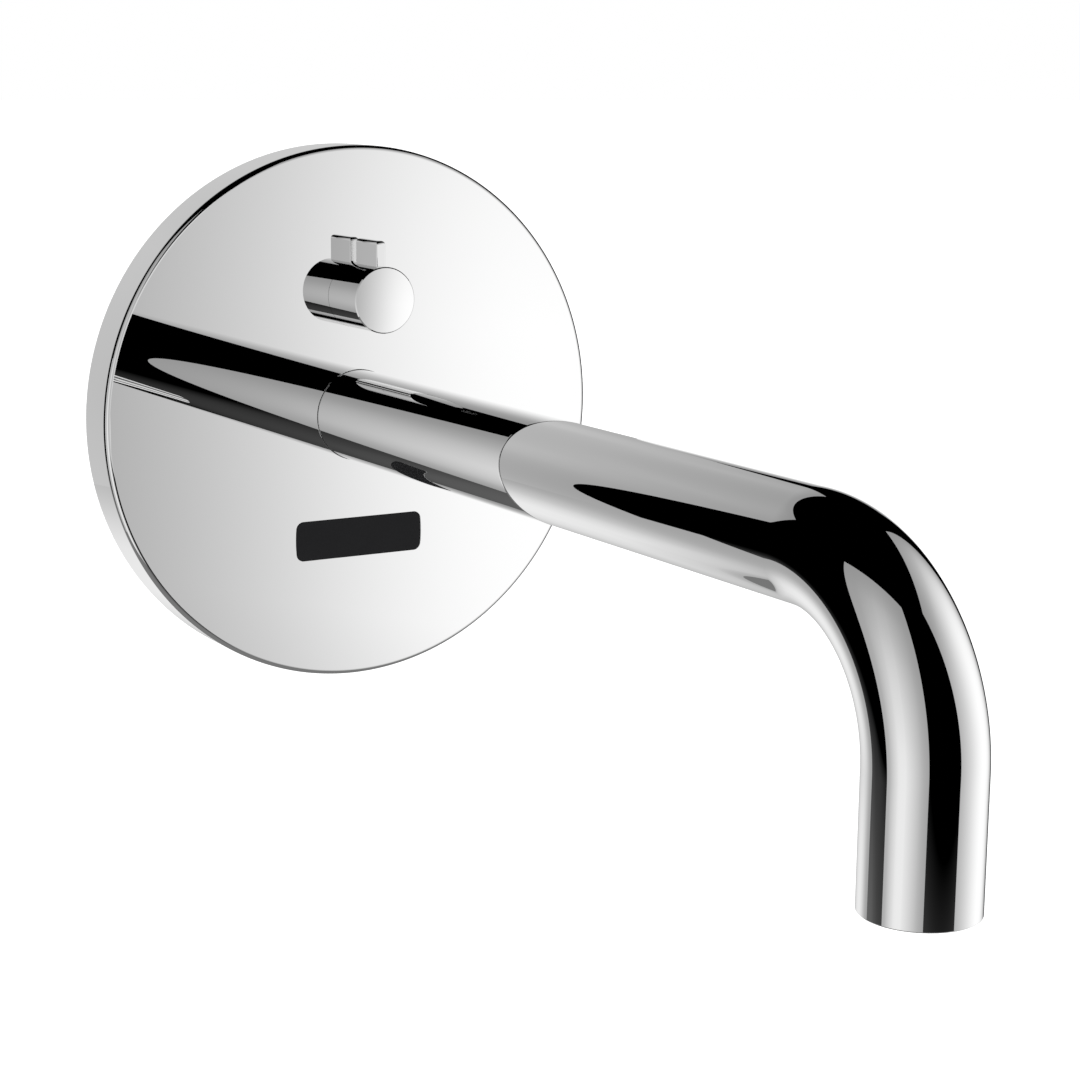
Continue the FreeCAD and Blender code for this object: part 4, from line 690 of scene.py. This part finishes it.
def add_studio(flat_pieces):
    """Upright cards beside the tap with a dark gap in front of it, a grey backdrop behind it with a pale
    card below and a white one at its right, and a dark floor with a faint pool of light. The card in the
    gap lights only the flat pieces, but hides what lies behind it from the spout too."""
    add_card("front_card", (-0.22, -0.62, -0.135), (0.375, 0, 0), (0, 0, 0.30), 0.45, 0.85,
             ((0, 0.2), (0.5, 0.6), (1, 1)), ((0, 0.6), (0.6, 1), (1, 0.8)), seen_by=flat_pieces)
    add_card("right_card", (0.13, -0.58, -0.40), (0.26, 0.49, 0), (0, 0, 0.85), 0.33, 1.12,
             ((0, 0.22), (0.25, 0.62), (0.5, 1), (0.75, 0.65), (1, 0)),
             ((0, 0.15), (0.25, 0.95), (0.45, 1), (0.62, 0.75), (0.78, 0.3), (1, 0.05)))
    add_card("left_card", (-0.195, -0.595, -0.40), (-0.38, 0.535, 0), (0, 0, 1.0), 0.33, 0.93,
             ((0, 0.12), (0.15, 0.42), (0.35, 0.92), (0.45, 1), (0.55, 0.83), (0.75, 0.38), (0.9, 0.22),
              (1, 0.15)),
             ((0, 1), (0.2, 1), (0.35, 0.87), (0.55, 0.5), (0.75, 0.2), (1, 0.02)), foot_share=0.9)
    add_card("far_left_card", (-1.2, -0.45, -0.95), (0, 0.43, 0), (0, 0, 1.25), 0.65, 0.8,
             ((0, 1), (1, 1)), ((0, 0), (0.5, 1), (1, 1)))
    add_card("backdrop_card", (-0.775, 1.0, -0.34), (1.575, 0, 0), (0, 0, 1.54), 0.30, 0.62,
             ((0, 0.3), (0.2, 0.85), (0.5, 1), (0.8, 1), (1, 0.45)),
             ((0, 1), (0.5, 1), (0.63, 0.72), (0.75, 0.5), (0.9, 0.2), (1, 0.1)))
    add_card("pale_card", (-0.85, 1.0, -0.955), (2.25, 0, 0), (0, 0, 0.615), 0.40, 0.92,
             ((0, 0), (0.11, 0.18), (0.2, 0.6), (0.32, 1), (0.43, 0.95), (0.56, 0.62), (0.7, 0.25),
              (1, 0.1)),
             ((0, 0.1), (0.05, 0.45), (0.19, 0.8), (0.32, 0.95), (0.56, 1), (0.8, 0.85), (1, 0.42)))
    add_card("white_card", (0.80, 1.0, -0.34), (0.72, 0, 0), (0, 0, 0.74), 0.0, 1.1,
             ((0, 0.9), (0.3, 1), (1, 0.6)), ((0, 1), (0.5, 1), (0.75, 0.55), (1, 0.3)))
    pool = ((0, 0), (0.08, 0.14), (0.17, 0.32), (0.21, 0.55), (0.32, 0.95), (0.5, 1),
            (0.68, 0.95), (0.79, 0.55), (0.83, 0.32), (0.92, 0.14), (1, 0))
    add_card("floor_card", (-3.2, -3.0, -0.96), (6.6, 0, 0), (0, 6.6, 0), 0.0, 0.2, pool, pool)


def add_world():
    """White to the camera, soft daylight to matt surfaces, a room with dim sides to the sheen of satin
    ones, and dark to mirrors, which see the cards."""
    world = bpy.data.worlds.new("studio_room")
    world.use_nodes = True
    tree = world.node_tree
    tree.nodes.clear()
    path = add_node(tree, "ShaderNodeLightPath")
    direction = add_node(tree, "ShaderNodeTexCoord").outputs["Generated"]
    parts = add_node(tree, "ShaderNodeSeparateXYZ", Vector=direction)
    soft = add_node(tree, "ShaderNodeMapRange", Value=parts.outputs["Z"], From_Min=-1.0, From_Max=1.0,
                    To_Min=0.7, To_Max=1.15)
    depth = add_node(tree, "ShaderNodeMapRange", Value=parts.outputs["Y"], From_Min=-1.0, From_Max=1.0)
    sides_fade = ((0, 0.9), (0.3, 0.75), (0.5, 0.25), (0.7, 0.35), (1, 1))
    sides = add_node(tree, "ShaderNodeValToRGB", {"stops": sides_fade}, Fac=depth.outputs["Result"])
    height = add_node(tree, "ShaderNodeMapRange", Value=parts.outputs["Z"], From_Min=-0.6, From_Max=0.8,
                      To_Min=0.35, To_Max=1.6)
    room = add_node(tree, "ShaderNodeMath", {"operation": "MULTIPLY"}, n0=sides.outputs[0],
                    n1=height.outputs["Result"])
    for_satin = add_node(tree, "ShaderNodeMix", Factor=path.outputs["Is Glossy Ray"],
                         n2=soft.outputs["Result"], n3=room.outputs[0])
    for_mirrors = add_node(tree, "ShaderNodeMix", Factor=path.outputs["Is Singular Ray"],
                           n2=for_satin.outputs[0], n3=0.0)
    strength = add_node(tree, "ShaderNodeMix", Factor=path.outputs["Is Camera Ray"],
                        n2=for_mirrors.outputs[0], n3=1.0)
    sky = add_node(tree, "ShaderNodeBackground", Color=(1, 1, 1, 1), Strength=strength.outputs[0])
    add_node(tree, "ShaderNodeOutputWorld", Surface=sky.outputs[0])
    bpy.context.scene.world = world


def add_floor():
    """Plain pale floor under the tap, which hides nothing from a view from underneath."""
    material, tree, place = new_material("pale_floor")
    path = add_node(tree, "ShaderNodeLightPath")
    lift = add_node(tree, "ShaderNodeMath", {"operation": "MULTIPLY"}, n0=path.outputs["Is Camera Ray"],
                    n1=floor_camera_lift)
    top = add_node(tree, "ShaderNodeMath", {"operation": "SUBTRACT"}, n0=1.0,
                   n1=add_node(tree, "ShaderNodeNewGeometry").outputs["Backfacing"])
    finish_material(material, tree, Base_Color=colour(0xF4F4F4), Roughness=1.0, Specular_IOR_Level=0.0,
                    Emission_Color=(1, 1, 1, 1), Emission_Strength=lift.outputs[0], Alpha=top.outputs[0])
    bm = bmesh.new()
    bmesh.ops.create_grid(bm, x_segments=1, y_segments=1, size=floor_half_size,
                          matrix=Matrix.Translation((0, 0, floor_z)))
    mesh = bpy.data.meshes.new("floor")
    bm.to_mesh(mesh)
    bm.free()
    mesh.materials.append(material)
    floor = bpy.data.objects.new("floor", mesh)
    floor.visible_glossy = False
    bpy.context.scene.collection.objects.link(floor)


def main():
    materials = dress_parts()
    chrome = materials["polished_chrome"]
    polished_spout(chrome)
    flat_pieces = [polished_plate(chrome), polished_knob(chrome), polished_tab(chrome)]
    infrared_window(materials["infrared_acrylic"])
    inlet_thread("hot_inlet_thread", -inlet_x, materials["cast_brass"])
    inlet_thread("cold_inlet_thread", inlet_x, materials["cast_brass"])
    working_springs(materials["stainless_steel"])
    add_camera()
    add_studio(flat_pieces)
    add_world()
    add_floor()
    bpy.context.scene.view_settings.view_transform = "Standard"


main()
